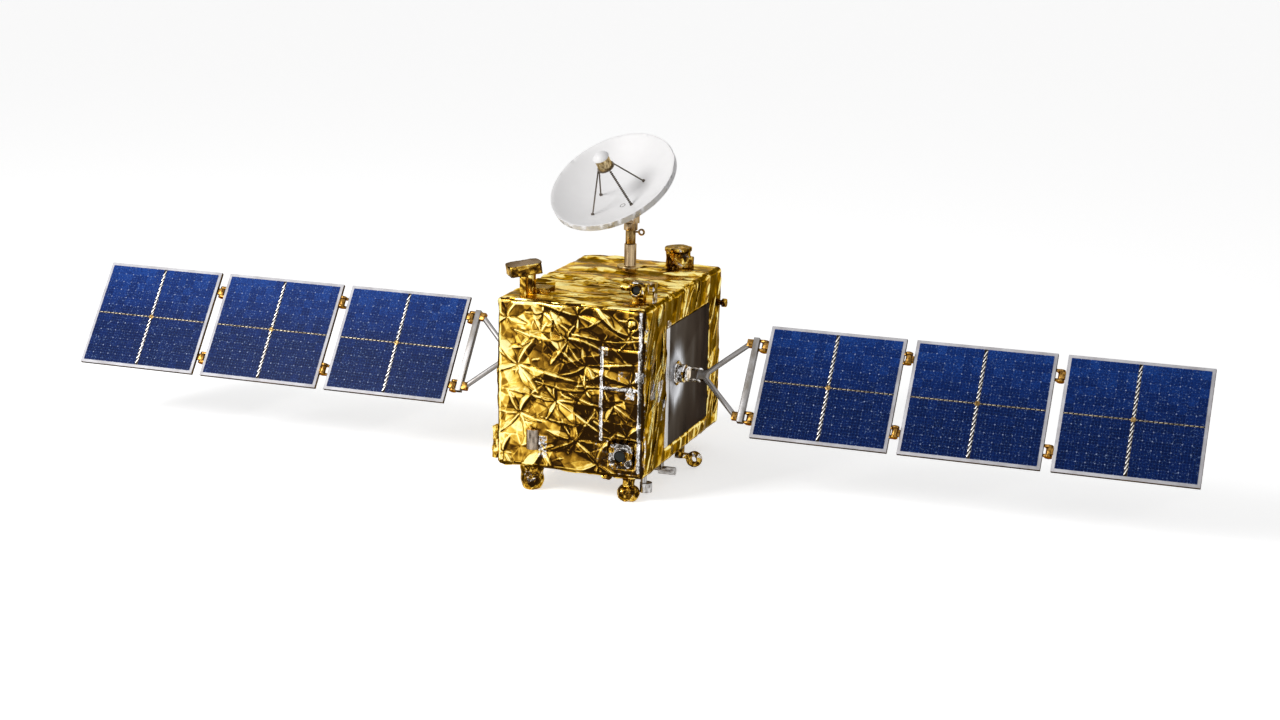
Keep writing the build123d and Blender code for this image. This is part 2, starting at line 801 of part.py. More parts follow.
fork_bottom = collar_top
fork_top = pivot_height + fork_ear_over
with BuildPart() as elevation_fork:
    with BuildSketch(mast_foot.offset(collar_bottom)):
        Circle(collar_r)
    extrude(amount=collar_length)
    with BuildSketch(turned_foot.offset(fork_bottom)):
        Rectangle(fork_spread + 2 * fork_ear, fork_width)
    extrude(amount=fork_base_thickness)
    with BuildSketch(turned_foot.offset(fork_bottom + fork_base_thickness)):
        with GridLocations(fork_spread + fork_ear, 1, 2, 1):
            Rectangle(fork_ear, fork_width)
    extrude(amount=fork_top - fork_bottom - fork_base_thickness)
    with BuildSketch(Plane(origin=pivot, z_dir=hinge_dir)):
        Circle(trunnion_r + pin_clearance)
    extrude(amount=fork_spread, both=True, mode=Mode.SUBTRACT)
save(elevation_fork.part, "elevation_fork")

# --- dish -------------------------------------------------------------------
# The dish stands a little to one side of the pivot, along the hinge axis.
pivot_frame = Plane(origin=pivot, x_dir=hinge_dir, z_dir=dish_dir)
dish_frame = Plane(origin=pivot_frame.from_local_coords((dish_shift, 0, 0)),
                   x_dir=hinge_dir, z_dir=dish_dir)
dish_section = section_of(dish_frame)
dish_axis = Axis(dish_frame.origin, dish_dir)
bowl_r = dish_r - dish_lip_wall
sphere_r = (bowl_r ** 2 + dish_depth ** 2) / (2 * dish_depth)
rim_height = vertex_height + dish_depth


def sphere_rise(sphere_radius, radius):
    """How far a sphere rises from its pole to a circle of some radius."""
    return sphere_radius - sqrt(sphere_radius ** 2 - radius ** 2)


def bowl_height(radius):
    """Height of the bowl's inner surface over the pivot at a radius."""
    return vertex_height + sphere_rise(sphere_r, radius)


with BuildPart() as dish:
    with BuildSketch(dish_section):
        with BuildLine():
            inside = ThreePointArc((0, vertex_height), (bowl_r / 2, bowl_height(bowl_r / 2)),
                                   (bowl_r, rim_height))
            Polyline(inside @ 1, (dish_r, rim_height), (dish_r, rim_height - dish_lip),
                     (bowl_r, rim_height - dish_lip), (bowl_r, rim_height - dish_shell))
            ThreePointArc((bowl_r, rim_height - dish_shell),
                          (bowl_r / 2, bowl_height(bowl_r / 2) - dish_shell),
                          (0, vertex_height - dish_shell))
            Line((0, vertex_height - dish_shell), (0, vertex_height))
        make_face()
    revolve(axis=dish_axis)
save(dish.part, "dish")

with BuildPart() as dish_hub:
    with BuildSketch(dish_frame.offset(vertex_height - dish_shell - hub_length)):
        Circle(hub_r)
    extrude(amount=hub_length + dish_shell)
    with BuildSketch(pivot_frame.offset(-fork_ear_over)):
        Rectangle(trunnion_block, fork_width)
    extrude(amount=vertex_height - dish_shell - hub_length + fork_ear_over)
    with BuildSketch(Plane(origin=pivot, z_dir=hinge_dir)):
        Circle(trunnion_r)
    extrude(amount=fork_spread / 2 + fork_ear, both=True)
    add(dish.part, mode=Mode.SUBTRACT)
save(dish_hub.part, "dish_hub")

# --- feed -------------------------------------------------------------------
feed_base = rim_height + feed_bottom
with BuildPart() as feed_horn:
    with BuildSketch(dish_frame.offset(feed_base)):
        Circle(feed_r)
    extrude(amount=feed_length)
save(feed_horn.part, "feed_horn")

cap_base = feed_base + feed_length
cap_top = cap_base + cap_skirt + cap_dome
dome_r = (cap_r ** 2 + cap_dome ** 2) / (2 * cap_dome)
with BuildPart() as feed_cap:
    with BuildSketch(dish_section):
        with BuildLine():
            Polyline((0, cap_base), (cap_r, cap_base), (cap_r, cap_base + cap_skirt))
            ThreePointArc((cap_r, cap_base + cap_skirt),
                          (cap_r / 2, cap_top - sphere_rise(dome_r, cap_r / 2)),
                          (0, cap_top))
            Line((0, cap_top), (0, cap_base))
        make_face()
    revolve(axis=dish_axis)
save(feed_cap.part, "feed_cap")

# Four struts from the bowl to the feed:
# foot radius, then the angles of the foot and of the head from the hinge axis.
struts_table = [(246, 254, 218), (153, 191, 191), (173, 333, 333), (185, 52, 52)]
bowl_centre = dish_frame.from_local_coords((0, 0, vertex_height + sphere_r))
strut_head_r = feed_r + feed_plate_lip - strut_head_inset
bars = []
for radius, foot_angle, head_angle in struts_table:
    foot_turn = radians(foot_angle)
    head_turn = radians(head_angle)
    foot = dish_frame.from_local_coords((radius * cos(foot_turn), radius * sin(foot_turn),
                                         bowl_height(radius)))
    head = dish_frame.from_local_coords((strut_head_r * cos(head_turn),
                                         strut_head_r * sin(head_turn),
                                         feed_base - feed_plate / 2))
    inward = (bowl_centre - foot).normalized()
    bars.append(bar(foot, head, strut_r))
    bars.append(bar(foot - inward * dish_shell / 2, foot + inward * dish_shell, strut_foot_r))
with BuildPart() as feed_struts:
    with BuildSketch(dish_frame.offset(feed_base)):
        Circle(feed_r + feed_plate_lip)
    extrude(amount=-feed_plate)
    add(bars)
    add([dish.part, feed_horn.part], mode=Mode.SUBTRACT)
save(feed_struts.part, "feed_struts")
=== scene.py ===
import json
from math import cos, hypot, pi, radians, sin, sqrt

import bpy
import numpy as np
from mathutils import Matrix, Vector, geometry, noise


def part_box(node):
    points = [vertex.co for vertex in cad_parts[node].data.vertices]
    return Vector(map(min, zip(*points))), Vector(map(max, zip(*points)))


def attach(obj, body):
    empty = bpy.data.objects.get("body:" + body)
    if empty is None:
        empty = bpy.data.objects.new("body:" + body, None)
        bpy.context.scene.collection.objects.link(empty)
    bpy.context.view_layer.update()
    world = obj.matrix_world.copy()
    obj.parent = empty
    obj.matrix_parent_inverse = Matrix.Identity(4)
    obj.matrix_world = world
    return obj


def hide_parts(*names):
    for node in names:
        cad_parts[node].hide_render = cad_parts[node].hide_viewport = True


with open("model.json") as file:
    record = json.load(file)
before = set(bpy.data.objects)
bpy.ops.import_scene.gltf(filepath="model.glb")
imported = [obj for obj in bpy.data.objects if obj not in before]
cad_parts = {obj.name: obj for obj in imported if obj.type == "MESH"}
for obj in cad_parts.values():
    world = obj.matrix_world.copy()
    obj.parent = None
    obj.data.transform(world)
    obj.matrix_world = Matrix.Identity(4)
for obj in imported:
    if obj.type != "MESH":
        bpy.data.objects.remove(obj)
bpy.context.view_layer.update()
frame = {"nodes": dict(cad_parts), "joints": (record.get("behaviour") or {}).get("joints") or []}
nodes = frame["nodes"]

# --- insulation blankets ----------------------------------------------------
# Each wall of the body wears a blanket of many layers of gold metallised film.
# It is tied to the wall at a few points and hangs slack between them, so sharp
# folds run out from every tie. Some seams are closed with plain silvered tape.
# Light and shade are painted into the film's colour: each wall, fold and flat is
# painted lighter or darker by how it faces a fixed light, under a painted reflection.
body_low = Vector(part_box("bottom_deck")[0])
body_high = Vector(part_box("top_deck")[1])
body_centre = (body_low + body_high) / 2
body_half = (body_high - body_low) / 2
edge_r = 0.016
film_step = 0.005
skirt = 0.03
skirt_taper = 0.93
crease_size, crease_height = 0.085, 0.005
film_low = -0.002
tape_height, tape_edge = 0.002, 0.008
# how bright silvered film is, and how far it evens out the painted light and shade of the gold film
tape_tone, tape_evening = 0.03, 0.6
# how far in from a wall's edges, or out from a fixed plate, the film still lies flat
seam_flat, seam_reach = 0.002, 0.018
plate_reach = 0.012
# the direction of the fixed light whose light and shade are painted on the film by the tilt of each flat
towards_light = Vector((-0.55, -0.50, 0.66))
# how much painted light and shade each adds to the film: by fold side, by tilt to the light, a painted
# highlight on ridges, painted shade in valleys and along the seams; chance and hem add a random part
fold_painted_light, tilt_painted_light, chance_tone = 0.17, 0.9, 0.04
ridge_painted_highlight, valley_painted_shade, seam_painted_shade, hem_tone = 0.22, 0.14, 0.14, 0.5
ridge_height, seam_width, hem_width = 0.0010, 0.005, 0.016
gold_stops = [
    (0.28, (0.018, 0.008, 0.002)),
    (0.39, (0.080, 0.036, 0.004)),
    (0.48, (0.243, 0.120, 0.010)),
    (0.57, (0.545, 0.307, 0.032)),
    (0.67, (0.845, 0.587, 0.102)),
    (0.80, (1.0, 0.900, 0.395)),
]
silver_stops = [
    (0.30, (0.020, 0.016, 0.012)),
    (0.44, (0.10, 0.085, 0.070)),
    (0.55, (0.42, 0.40, 0.38)),
    (0.66, (0.86, 0.86, 0.87)),
    (0.78, (0.98, 0.98, 1.0)),
]


def add_node(tree, kind, inputs=None, **settings):
    """A shader node with these settings, and its inputs set to values or joined to other sockets."""
    made = tree.nodes.new(kind)
    for key, value in settings.items():
        setattr(made, key, value)
    for key, value in (inputs or {}).items():
        if isinstance(value, bpy.types.NodeSocket):
            tree.links.new(value, made.inputs[key])
        else:
            made.inputs[key].default_value = value
    return made


def new_finish(name, metallic, roughness, coat=0.0):
    """A new material: its node tree, its shader and the point's place on the piece."""
    finish = bpy.data.materials.new(name)
    finish.use_nodes = True
    tree = finish.node_tree
    shader = tree.nodes["Principled BSDF"]
    shader.inputs["Metallic"].default_value = metallic
    shader.inputs["Roughness"].default_value = roughness
    shader.inputs["Coat Weight"].default_value = coat
    place = add_node(tree, "ShaderNodeTexCoord").outputs["Object"]
    return finish, tree, shader, place


def add_noise(tree, vector, scale, detail=2.0, roughness=0.5):
    """A noise texture on that vector."""
    inputs = {"Vector": vector, "Scale": scale, "Detail": detail, "Roughness": roughness}
    return add_node(tree, "ShaderNodeTexNoise", inputs)


def add_ramp(tree, factor, stops):
    """A colour ramp through (position, colour) stops."""
    made = add_node(tree, "ShaderNodeValToRGB", {"Fac": factor})
    elements = made.color_ramp.elements
    while len(elements) < len(stops):
        elements.new(0.5)
    for element, (position, colour) in zip(elements, stops):
        element.position = position
        element.color = (*colour, 1.0)
    return made.outputs["Color"]


def add_math(tree, operation, first, second=0.0, third=0.0):
    """One step of arithmetic."""
    inputs = {0: first, 1: second, 2: third}
    return add_node(tree, "ShaderNodeMath", inputs, operation=operation).outputs[0]


def add_vector_math(tree, operation, first, second, third=(0.0, 0.0, 0.0)):
    """One step of vector arithmetic."""
    made = add_node(tree, "ShaderNodeVectorMath", {0: first, 1: second, 2: third}, operation=operation)
    return made.outputs["Value" if operation == "LENGTH" else "Vector"]


def add_step(tree, value, low, high, least=0.0, most=1.0):
    """A number that goes from least to most as the value goes from low to high."""
    inputs = {"Value": value, "From Min": low, "From Max": high, "To Min": least, "To Max": most}
    return add_node(tree, "ShaderNodeMapRange", inputs).outputs["Result"]


def add_mix(tree, factor, first, second):
    """A mix of two colours."""
    ends = [end if isinstance(end, bpy.types.NodeSocket) else (*end, 1.0) for end in (first, second)]
    inputs = {0: factor, 6: ends[0], 7: ends[1]}
    return add_node(tree, "ShaderNodeMix", inputs, data_type="RGBA").outputs[2]


def add_bump(tree, shader, height, strength, distance):
    """A bump from that height on the shader."""
    inputs = {"Height": height, "Strength": strength, "Distance": distance}
    made = add_node(tree, "ShaderNodeBump", inputs)
    tree.links.new(made.outputs["Normal"], shader.inputs["Normal"])


def read_number(tree, name):
    """The number that the mesh keeps at each point under that name."""
    return add_node(tree, "ShaderNodeAttribute", attribute_name=name).outputs["Fac"]


def foil_finish(name, roughness, ripple, fine):
    """Metallised film, gold or silvered, with a painted reflection: noise by each fold's direction, added
    to the painted light and shade kept on the mesh.
    """
    finish, tree, shader, place = new_finish(name, 1.0, roughness)
    shader.inputs["Specular Tint"].default_value = (0.85, 0.65, 0.37, 1.0)
    facing = add_node(tree, "ShaderNodeTexCoord").outputs["Normal"]
    wave = add_noise(tree, place, fine, 2.0).outputs["Color"]
    turned = add_vector_math(tree, "MULTIPLY_ADD", wave, (ripple,) * 3, facing)
    # a painted reflection: noise by the face's direction stands in for the surroundings that the film
    # would mirror
    mirrored = add_noise(tree, turned, 6.0, 1.5).outputs["Fac"]
    level = add_math(tree, "ADD", mirrored, read_number(tree, "painted_light_and_tone"))
    grit = add_noise(tree, place, 120.0, 3.0, 0.7).outputs["Fac"]
    silver_level = add_math(tree, "MULTIPLY_ADD", grit, 0.9, add_math(tree, "SUBTRACT", level, 0.40))
    torn = add_noise(tree, place, 42.0, 4.0, 0.65).outputs["Fac"]
    edge = add_math(tree, "MULTIPLY_ADD", torn, 0.8, read_number(tree, "silver"))
    silvered = add_step(tree, edge, 0.87, 0.93)
    gold = add_ramp(tree, level, gold_stops)
    colour = add_mix(tree, silvered, gold, add_ramp(tree, silver_level, silver_stops))
    tree.links.new(colour, shader.inputs["Base Color"])
    crinkle = add_noise(tree, place, fine * 3.0, 4.0, 0.6).outputs["Fac"]
    add_bump(tree, shader, crinkle, 0.25, 0.004)
    return finish


gold_film = foil_finish("gold_film", 0.24, 0.07, 22.0)


def select_only(piece):
    """Make this piece the one that the operators act on."""
    if bpy.context.object and bpy.context.object.mode != "OBJECT":
        bpy.ops.object.mode_set(mode="OBJECT")
    bpy.ops.object.select_all(action="DESELECT")
    piece.select_set(True)
    bpy.context.view_layer.objects.active = piece


def edit_mesh(piece, action, kind="VERT"):
    """Open a piece for editing, with all or nothing of its mesh selected."""
    select_only(piece)
    bpy.ops.object.mode_set(mode="EDIT")
    bpy.ops.mesh.select_mode(type=kind)
    bpy.ops.mesh.select_all(action=action)


def fit(piece, body, slot, finish, *stands_for):
    """Give a piece its finish and its body, and let it stand for these CAD nodes."""
    piece.data.materials.clear()
    piece.data.materials.append(finish)
    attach(piece, body)
    if stands_for:
        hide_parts(*stands_for)


def read_points(mesh):
    """The mesh's points as an array of rows."""
    points = np.empty(len(mesh.vertices) * 3)
    mesh.vertices.foreach_get("co", points)
    return points.reshape(-1, 3)


def keep_number(mesh, name, values):
    """Keep a number for each point on the mesh: its painted light and shade, or how much of it is
    silvered.
    """
    attribute = mesh.attributes.new(name, "FLOAT", "POINT")
    attribute.data.foreach_set("value", values.astype(np.float32))


def tie_folds(ties, rng):
    """Folds that fan out from each tie, longer sideways.

    Each is (u, v, direction, length, half width, brightness, bow); the brightness sets the painted light
    and shade on its two sides.
    """
    folds = []
    for tie_u, tie_v in ties:
        rays = int(rng.integers(4, 8))
        turn = rng.uniform(0, 2 * pi)
        for ray in range(rays):
            along = turn + (ray + rng.uniform(-0.4, 0.4)) * 2 * pi / rays
            length = rng.uniform(0.09, 0.32) * (0.45 + 0.95 * abs(cos(along)))
            width = 0.004 + length * rng.uniform(0.04, 0.15)
            bright = rng.uniform(0.5, 1.0) * (1 if rng.random() < 0.5 else -1)
            folds.append((tie_u, tie_v, along, length, width, bright, rng.uniform(-0.25, 0.25)))
    return folds


def strewn_folds(count, half_u, half_v, along, lengths, widths, rng):
    """Folds strewn over a wall, most of them near one direction."""
    folds = []
    for _ in range(count):
        at_u, at_v = rng.uniform(-1.1, 1.0) * half_u, rng.uniform(-1.1, 1.0) * half_v
        bright = rng.uniform(0.4, 1.0) * (1 if rng.random() < 0.55 else -1)
        folds.append((at_u, at_v, along + rng.normal(0, 0.22), rng.uniform(*lengths),
                      rng.uniform(*widths), bright, rng.uniform(-0.3, 0.3)))
    return folds


def pinched(u, v, folds):
    """Lens-shaped folds with a sharp crest: how high they stand, and the painted light and shade on their
    two sides, from -1 to 1.
    """
    lift, shine = np.zeros(u.shape), np.zeros(u.shape)
    crest = 0.35
    steepness = 0.30
    for at_u, at_v, along, length, width, bright, bow in folds:
        far = ((u - at_u) * cos(along) + (v - at_v) * sin(along)) / length
        side = (v - at_v) * cos(along) - (u - at_u) * sin(along)
        near = np.flatnonzero((far > 0) & (far < 1) & (np.abs(side) < width + abs(bow) * length))
        share = far[near]
        half = width * np.sin(pi * share ** 0.7) + 1e-4
        across = (side[near] - bow * length * share * (1 - share)) / half
        climb = np.where(across < crest, (across + 1) / (crest + 1), (1 - across) / (1 - crest))
        height = steepness * half * climb
        higher = height > np.maximum(lift[near], 0)
        reached = near[higher]
        lift[reached] = height[higher]
        # painted light on one side of the crest and painted shade on the other
        lit = np.where(across < crest, 0.25 + 0.75 * climb, -0.7)
        shine[reached] = (bright * lit)[higher]
    return lift, shine


def soft_pools(u, v, rng):
    """Broad soft pools of painted light and shade over a wall, from about -1 to 1."""
    pools = np.zeros(u.shape)
    wave_count = 7
    for _ in range(wave_count):
        along, pitch, start = rng.uniform(0, pi), rng.uniform(9, 22), rng.uniform(0, 2 * pi)
        pools += np.sin((u * cos(along) + v * sin(along)) * pitch + start)
    return pools / 3.0


def tie_spots(ties, rays, reach, height, rng):
    """Ties with a ring of spots round each, by turns high and low, as (u, v, height)."""
    spots = []
    for tie_u, tie_v in ties:
        spots.append((tie_u, tie_v, 0.0))
        turn = rng.uniform(0, 2 * pi)
        for ray in range(rays):
            angle = turn + (ray + rng.uniform(-0.35, 0.35)) * 2 * pi / rays
            far = reach * rng.uniform(0.45, 1.15)
            level = height * (rng.uniform(0.65, 1.0) if ray % 2 else rng.uniform(0.0, 0.4))
            spots.append((tie_u + far * cos(angle), tie_v + far * sin(angle), level))
    return spots


def loose_spots(half_u, half_v, pitch, height, rng, clear_of=()):
    """Spots of random height on a rough grid over a wall, left out near the ties that are given."""
    spots = []
    for row in np.arange(-half_v - pitch, half_v + 2 * pitch, pitch):
        for column in np.arange(-half_u - pitch, half_u + 2 * pitch, pitch):
            shift_u, shift_v = rng.uniform(-0.4, 0.4, 2) * pitch
            level = rng.uniform(0.0, 1.0) * height
            at_u, at_v = column + shift_u, row + shift_v
            if all(hypot(at_u - tie_u, at_v - tie_v) > 0.8 * pitch for tie_u, tie_v in clear_of):
                spots.append((at_u, at_v, level))
    return spots


def creased(u, v, spots, rng):
    """Film pulled flat between spots: how high it is, and a painted reflection on each flat, lighter or
    darker at random with a gradient across it, from -1 to 1.
    """
    flat_spots = [Vector(spot[:2]) for spot in spots]
    corners, _, triangles, origin, _, _ = geometry.delaunay_2d_cdt(flat_spots, [], [], 0, 1e-4)
    heights = [spots[source[0]][2] if source else 0.0 for source in origin]
    lift, shine = np.zeros(u.shape), np.zeros(u.shape)
    for triangle in triangles:
        (a_u, a_v), (b_u, b_v), (c_u, c_v) = (corners[index] for index in triangle)
        glints = rng.uniform(-1, 1) + rng.uniform(-0.7, 0.7, 3)
        near = ((u >= min(a_u, b_u, c_u)) & (u <= max(a_u, b_u, c_u))
                & (v >= min(a_v, b_v, c_v)) & (v <= max(a_v, b_v, c_v)))
        area = (b_u - a_u) * (c_v - a_v) - (c_u - a_u) * (b_v - a_v)
        if abs(area) < 1e-9 or not near.any():
            continue
        share_b = ((u[near] - a_u) * (c_v - a_v) - (c_u - a_u) * (v[near] - a_v)) / area
        share_c = ((b_u - a_u) * (v[near] - a_v) - (u[near] - a_u) * (b_v - a_v)) / area
        shares = np.array([1 - share_b - share_c, share_b, share_c])
        inside = (shares >= -1e-6).all(axis=0)
        reached = np.flatnonzero(near)[inside]
        lift[reached] = (np.array([heights[index] for index in triangle]) @ shares)[inside]
        shine[reached] = (glints @ shares)[inside]
    return lift, shine


def drawn_folds(u, v, along, stretch, pitch, height, rng):
    """Film drawn tight one way: long flats along that direction, their height and their painted
    reflection.
    """
    far = (u * cos(along) + v * sin(along)) / stretch
    side = v * cos(along) - u * sin(along) + 0.012 * np.sin(far * stretch * 7)
    spots = loose_spots(np.abs(far).max(), np.abs(side).max(), pitch, height, rng)
    return creased(far, side, spots, rng)


def scatter(count_u, count_v, half_u, half_v, rng):
    """Ties on a rough grid over a wall."""
    ties = []
    for row in range(count_v):
        for column in range(count_u):
            at_u = (2 * (column + 0.5 + rng.uniform(-0.33, 0.33)) / count_u - 1) * half_u
            at_v = (2 * (row + 0.5 + rng.uniform(-0.33, 0.33)) / count_v - 1) * half_v
            ties.append((at_u, at_v))
    return ties


def round_box(points):
    """Points on the sharp box moved onto the box with rounded edges, with the directions outwards."""
    inner = np.array(body_half) - edge_r
    middle = np.array(body_centre)
    core = np.clip(points - middle, -inner, inner)
    outward = points - middle - core
    outward /= np.linalg.norm(outward, axis=1)[:, None]
    return middle + core + edge_r * outward, outward


def crumple_of(points, size, seed):
    """Small shared creases at each point: their height from 0 to about 1, and each one's own chance."""
    shift = Vector((seed * 3.7, seed * 1.3, 0.0))
    level, chance = np.empty(len(points)), np.empty(len(points))
    for index, point in enumerate(points):
        distances, spots = noise.voronoi(Vector(point) / size + shift)
        level[index] = distances[0]
        chance[index] = noise.cell(spots[0] * 9.0)
    return level, chance


# painted light and shade on the front wall at these places across it: lighter at the left, darker to the
# right, lighter again at its right edge
front_across = [-0.5, -0.30, -0.05, 0.15, 0.46, 0.487, 0.5]
front_shade = [0.10, 0.09, -0.11, -0.20, -0.20, 0.0, 0.10]
# x and height of the front wall's ties
front_ties = [
    (-0.202, 0.898), (-0.021, 0.876), (-0.364, 0.674), (-0.095, 0.459), (0.106, 0.711),
    (0.109, 0.544), (0.129, 0.367), (0.220, 0.880), (-0.191, 1.030), (0.416, 0.617),
    (-0.344, 0.357), (0.038, 0.213), (-0.196, 0.119), (0.300, 0.470), (0.050, 1.030),
    (-0.440, 0.980), (-0.460, 0.080), (0.400, 0.270), (0.400, 0.930), (0.190, 0.070),
]
front_ties = [(x, z + body_low.z - body_centre.z) for x, z in front_ties]
# name, wall it covers, outward, u direction, v direction, seed, base painted light (each wall painted
# lighter or darker by how it faces the light)
blankets = [
    ("front_blanket", ["front_panel", "access_hatch"], (0, -1, 0), (1, 0, 0), (0, 0, 1), 1, 0.0),
    ("back_blanket", ["back_panel"], (0, 1, 0), (-1, 0, 0), (0, 0, 1), 2, -0.02),
    ("right_blanket", ["right_panel"], (1, 0, 0), (0, 1, 0), (0, 0, 1), 3, -0.11),
    ("left_blanket", ["left_panel"], (-1, 0, 0), (0, -1, 0), (0, 0, 1), 4, 0.02),
    ("top_blanket", ["top_deck"], (0, 0, 1), (1, 0, 0), (0, 1, 0), 5, 0.06),
    ("bottom_blanket", ["bottom_deck"], (0, 0, -1), (-1, 0, 0), (0, 1, 0), 6, -0.06),
]
# by blanket: x or y from, to, height from, to, share that is silvered
silver_patches = {
    "front_blanket": [
        (0.206, 0.230, 0.344, 0.934, 1.0), (0.225, 0.470, 0.682, 0.704, 0.9),
        (0.464, 0.486, 0.150, 1.200, 0.9), (0.446, 0.500, 0.745, 0.812, 1.2),
        (0.378, 0.446, 0.630, 0.712, 0.55), (0.190, 0.260, 0.900, 0.960, 0.5),
        (0.330, 0.420, 0.720, 0.810, 0.42), (0.310, 0.450, 0.340, 0.600, 0.36),
        (0.170, 0.500, 0.130, 0.370, 0.40), (-0.215, -0.150, 0.180, 0.330, 0.52),
    ],
    "right_blanket": [
        (-0.352, -0.298, 0.230, 1.060, 1.2), (-0.660, -0.600, 0.600, 0.900, 0.55),
        (-0.560, -0.440, 0.560, 0.700, 0.62), (-0.480, -0.400, 0.420, 0.560, 0.66),
        (-0.775, -0.745, 0.150, 1.200, 0.45),
    ],
    "back_blanket": [
        (-0.060, -0.030, 0.150, 1.170, 0.9), (-0.420, -0.045, 0.640, 0.664, 0.85),
    ],
    "left_blanket": [
        (-0.352, -0.298, 0.230, 1.060, 1.2), (0.560, 0.590, 0.150, 1.180, 0.8),
    ],
    "top_blanket": [
        (0.300, 0.420, -0.680, -0.600, 0.45), (0.020, 0.160, 0.520, 0.640, 0.36),
    ],
}
hatch_low, hatch_high = (Vector(corner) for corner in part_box("access_hatch"))
hatch_height = 0.009
hatch_slope = 0.010
vent_x, vent_z, vent_r, vent_height, vent_curve = 0.416, 1.116, 0.036, 0.016, 9
# walls drawn tight one way: fold count, direction, lengths and half widths, then the flats'
# direction and height, and the contrast of their painted light and shade
upright_film = (100, 1.2, (0.10, 0.34), (0.014, 0.038), 1.2, 0.018, 1.6)
drawn_walls = {
    "top_blanket": (90, 0.10, (0.14, 0.42), (0.018, 0.050), 0.16, 0.014, 1.8),
    "right_blanket": upright_film,
    "left_blanket": upright_film,
}
drawn_stretch, drawn_pitch = 3.0, 0.085
# the other walls hang from ties: short folds, their lengths and half widths, then the rays
# round a tie, how far they reach and how high, and the pitch and height of loose spots
short_count, short_lengths, short_widths = 30, (0.05, 0.16), (0.006, 0.012)
tie_rays, tie_reach, tie_height = 6, 0.165, 0.018
loose_pitch, loose_height = 0.24, 0.020
# shares of the flats' height, and of their painted glints and pools of light in the film's painted light
# and shade
slack_share, glint_share, pool_share = 0.8, 0.65, 0.35


def wall_lift(name, u, v, half_u, half_v, seed):
    """How far the blanket on one wall stands off it, and the painted light and shade on its folds and
    flats.
    """
    rng = np.random.default_rng(seed)
    if name in drawn_walls:
        count, along, lengths, widths, flat_along, flat_height, contrast = drawn_walls[name]
        folds = strewn_folds(count, half_u, half_v, along, lengths, widths, rng)
        slack, glint = drawn_folds(u, v, flat_along, drawn_stretch, drawn_pitch, flat_height, rng)
    else:
        ties = front_ties if name == "front_blanket" else scatter(5, 4, half_u, half_v, rng)
        folds = tie_folds(ties, rng)
        folds += strewn_folds(short_count, half_u, half_v, 0.0, short_lengths, short_widths, rng)
        spots = tie_spots(ties, tie_rays, tie_reach, tie_height, rng)
        spots += loose_spots(half_u, half_v, loose_pitch, loose_height, rng, ties)
        slack, glint = creased(u, v, spots, rng)
        contrast = 1.0
    lift, shine = pinched(u, v, folds)
    shine = shine + glint_share * glint + pool_share * soft_pools(u, v, rng)
    return slack_share * slack + lift, contrast * shine


def softened(field):
    """A grid of values, each averaged over its neighbours, so that no fold shows the grid's steps."""
    padded = np.pad(field, 1, mode="edge")
    rows = (padded[:-2] + 2 * padded[1:-1] + padded[2:]) / 4
    return (rows[:, :-2] + 2 * rows[:, 1:-1] + rows[:, 2:]) / 4


def flat_zones(name, u_axis, v_axis):
    """The rectangles of a wall, in its u and v, where the blanket lies flat under a fixed plate."""
    fixed = {"front_blanket": ["nav_camera"], "right_blanket": ["radiators"],
             "left_blanket": ["radiators"], "bottom_blanket": ["launch_ring"]}
    zones = []
    for plate in fixed.get(name, []):
        ends = [Vector(corner) - body_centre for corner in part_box(plate)]
        across = sorted(end.dot(u_axis) for end in ends)
        up = sorted(end.dot(v_axis) for end in ends)
        zones.append((*across, *up))
    return zones


def depth_inside(across, up, low_across, high_across, low_up, high_up):
    """How far each point lies inside a rectangle, less than 0 outside it."""
    return np.minimum(np.minimum(across - low_across, high_across - across),
                      np.minimum(up - low_up, high_up - up))


def silvered_at(name, across, up):
    """How much of the film is silvered at each point of a wall."""
    silver = np.zeros(len(across))
    for *zone, share in silver_patches.get(name, []):
        inside = depth_inside(across, up, *zone)
        silver = np.maximum(silver, share * np.clip(0.5 + inside / tape_edge, 0, 1))
    return silver


def film_painted_light(surface, shine, level, chance, from_edge, slope_u, slope_v):
    """Painted light and shade on the film: by fold, by tilt to a fixed light, a painted highlight on
    ridges, painted shade in valleys and along the seams, and a random part.
    """
    rise_v, rise_u = np.gradient(surface, film_step)
    tilt = -rise_u.ravel() * slope_u - rise_v.ravel() * slope_v
    bend = np.zeros_like(surface)
    bend[1:-1, 1:-1] = (surface[1:-1, 2:] + surface[1:-1, :-2] + surface[2:, 1:-1] + surface[:-2, 1:-1]
                        - 4 * surface[1:-1, 1:-1])
    ridge = np.clip(-bend.ravel() / ridge_height, -1, 1)
    painted_light_and_tone = fold_painted_light * shine + np.clip(tilt_painted_light * tilt, -0.2, 0.2) + chance_tone * (chance - 0.5)
    painted_light_and_tone = painted_light_and_tone + ridge_painted_highlight * np.maximum(ridge, 0) + valley_painted_shade * np.minimum(ridge, 0)
    painted_light_and_tone = painted_light_and_tone - seam_painted_shade * (0.2 + level) * np.exp(-((from_edge - seam_reach) / seam_width) ** 2)
    return painted_light_and_tone + hem_tone * (chance - 0.55) * np.clip(1 - from_edge / hem_width, 0, 1)


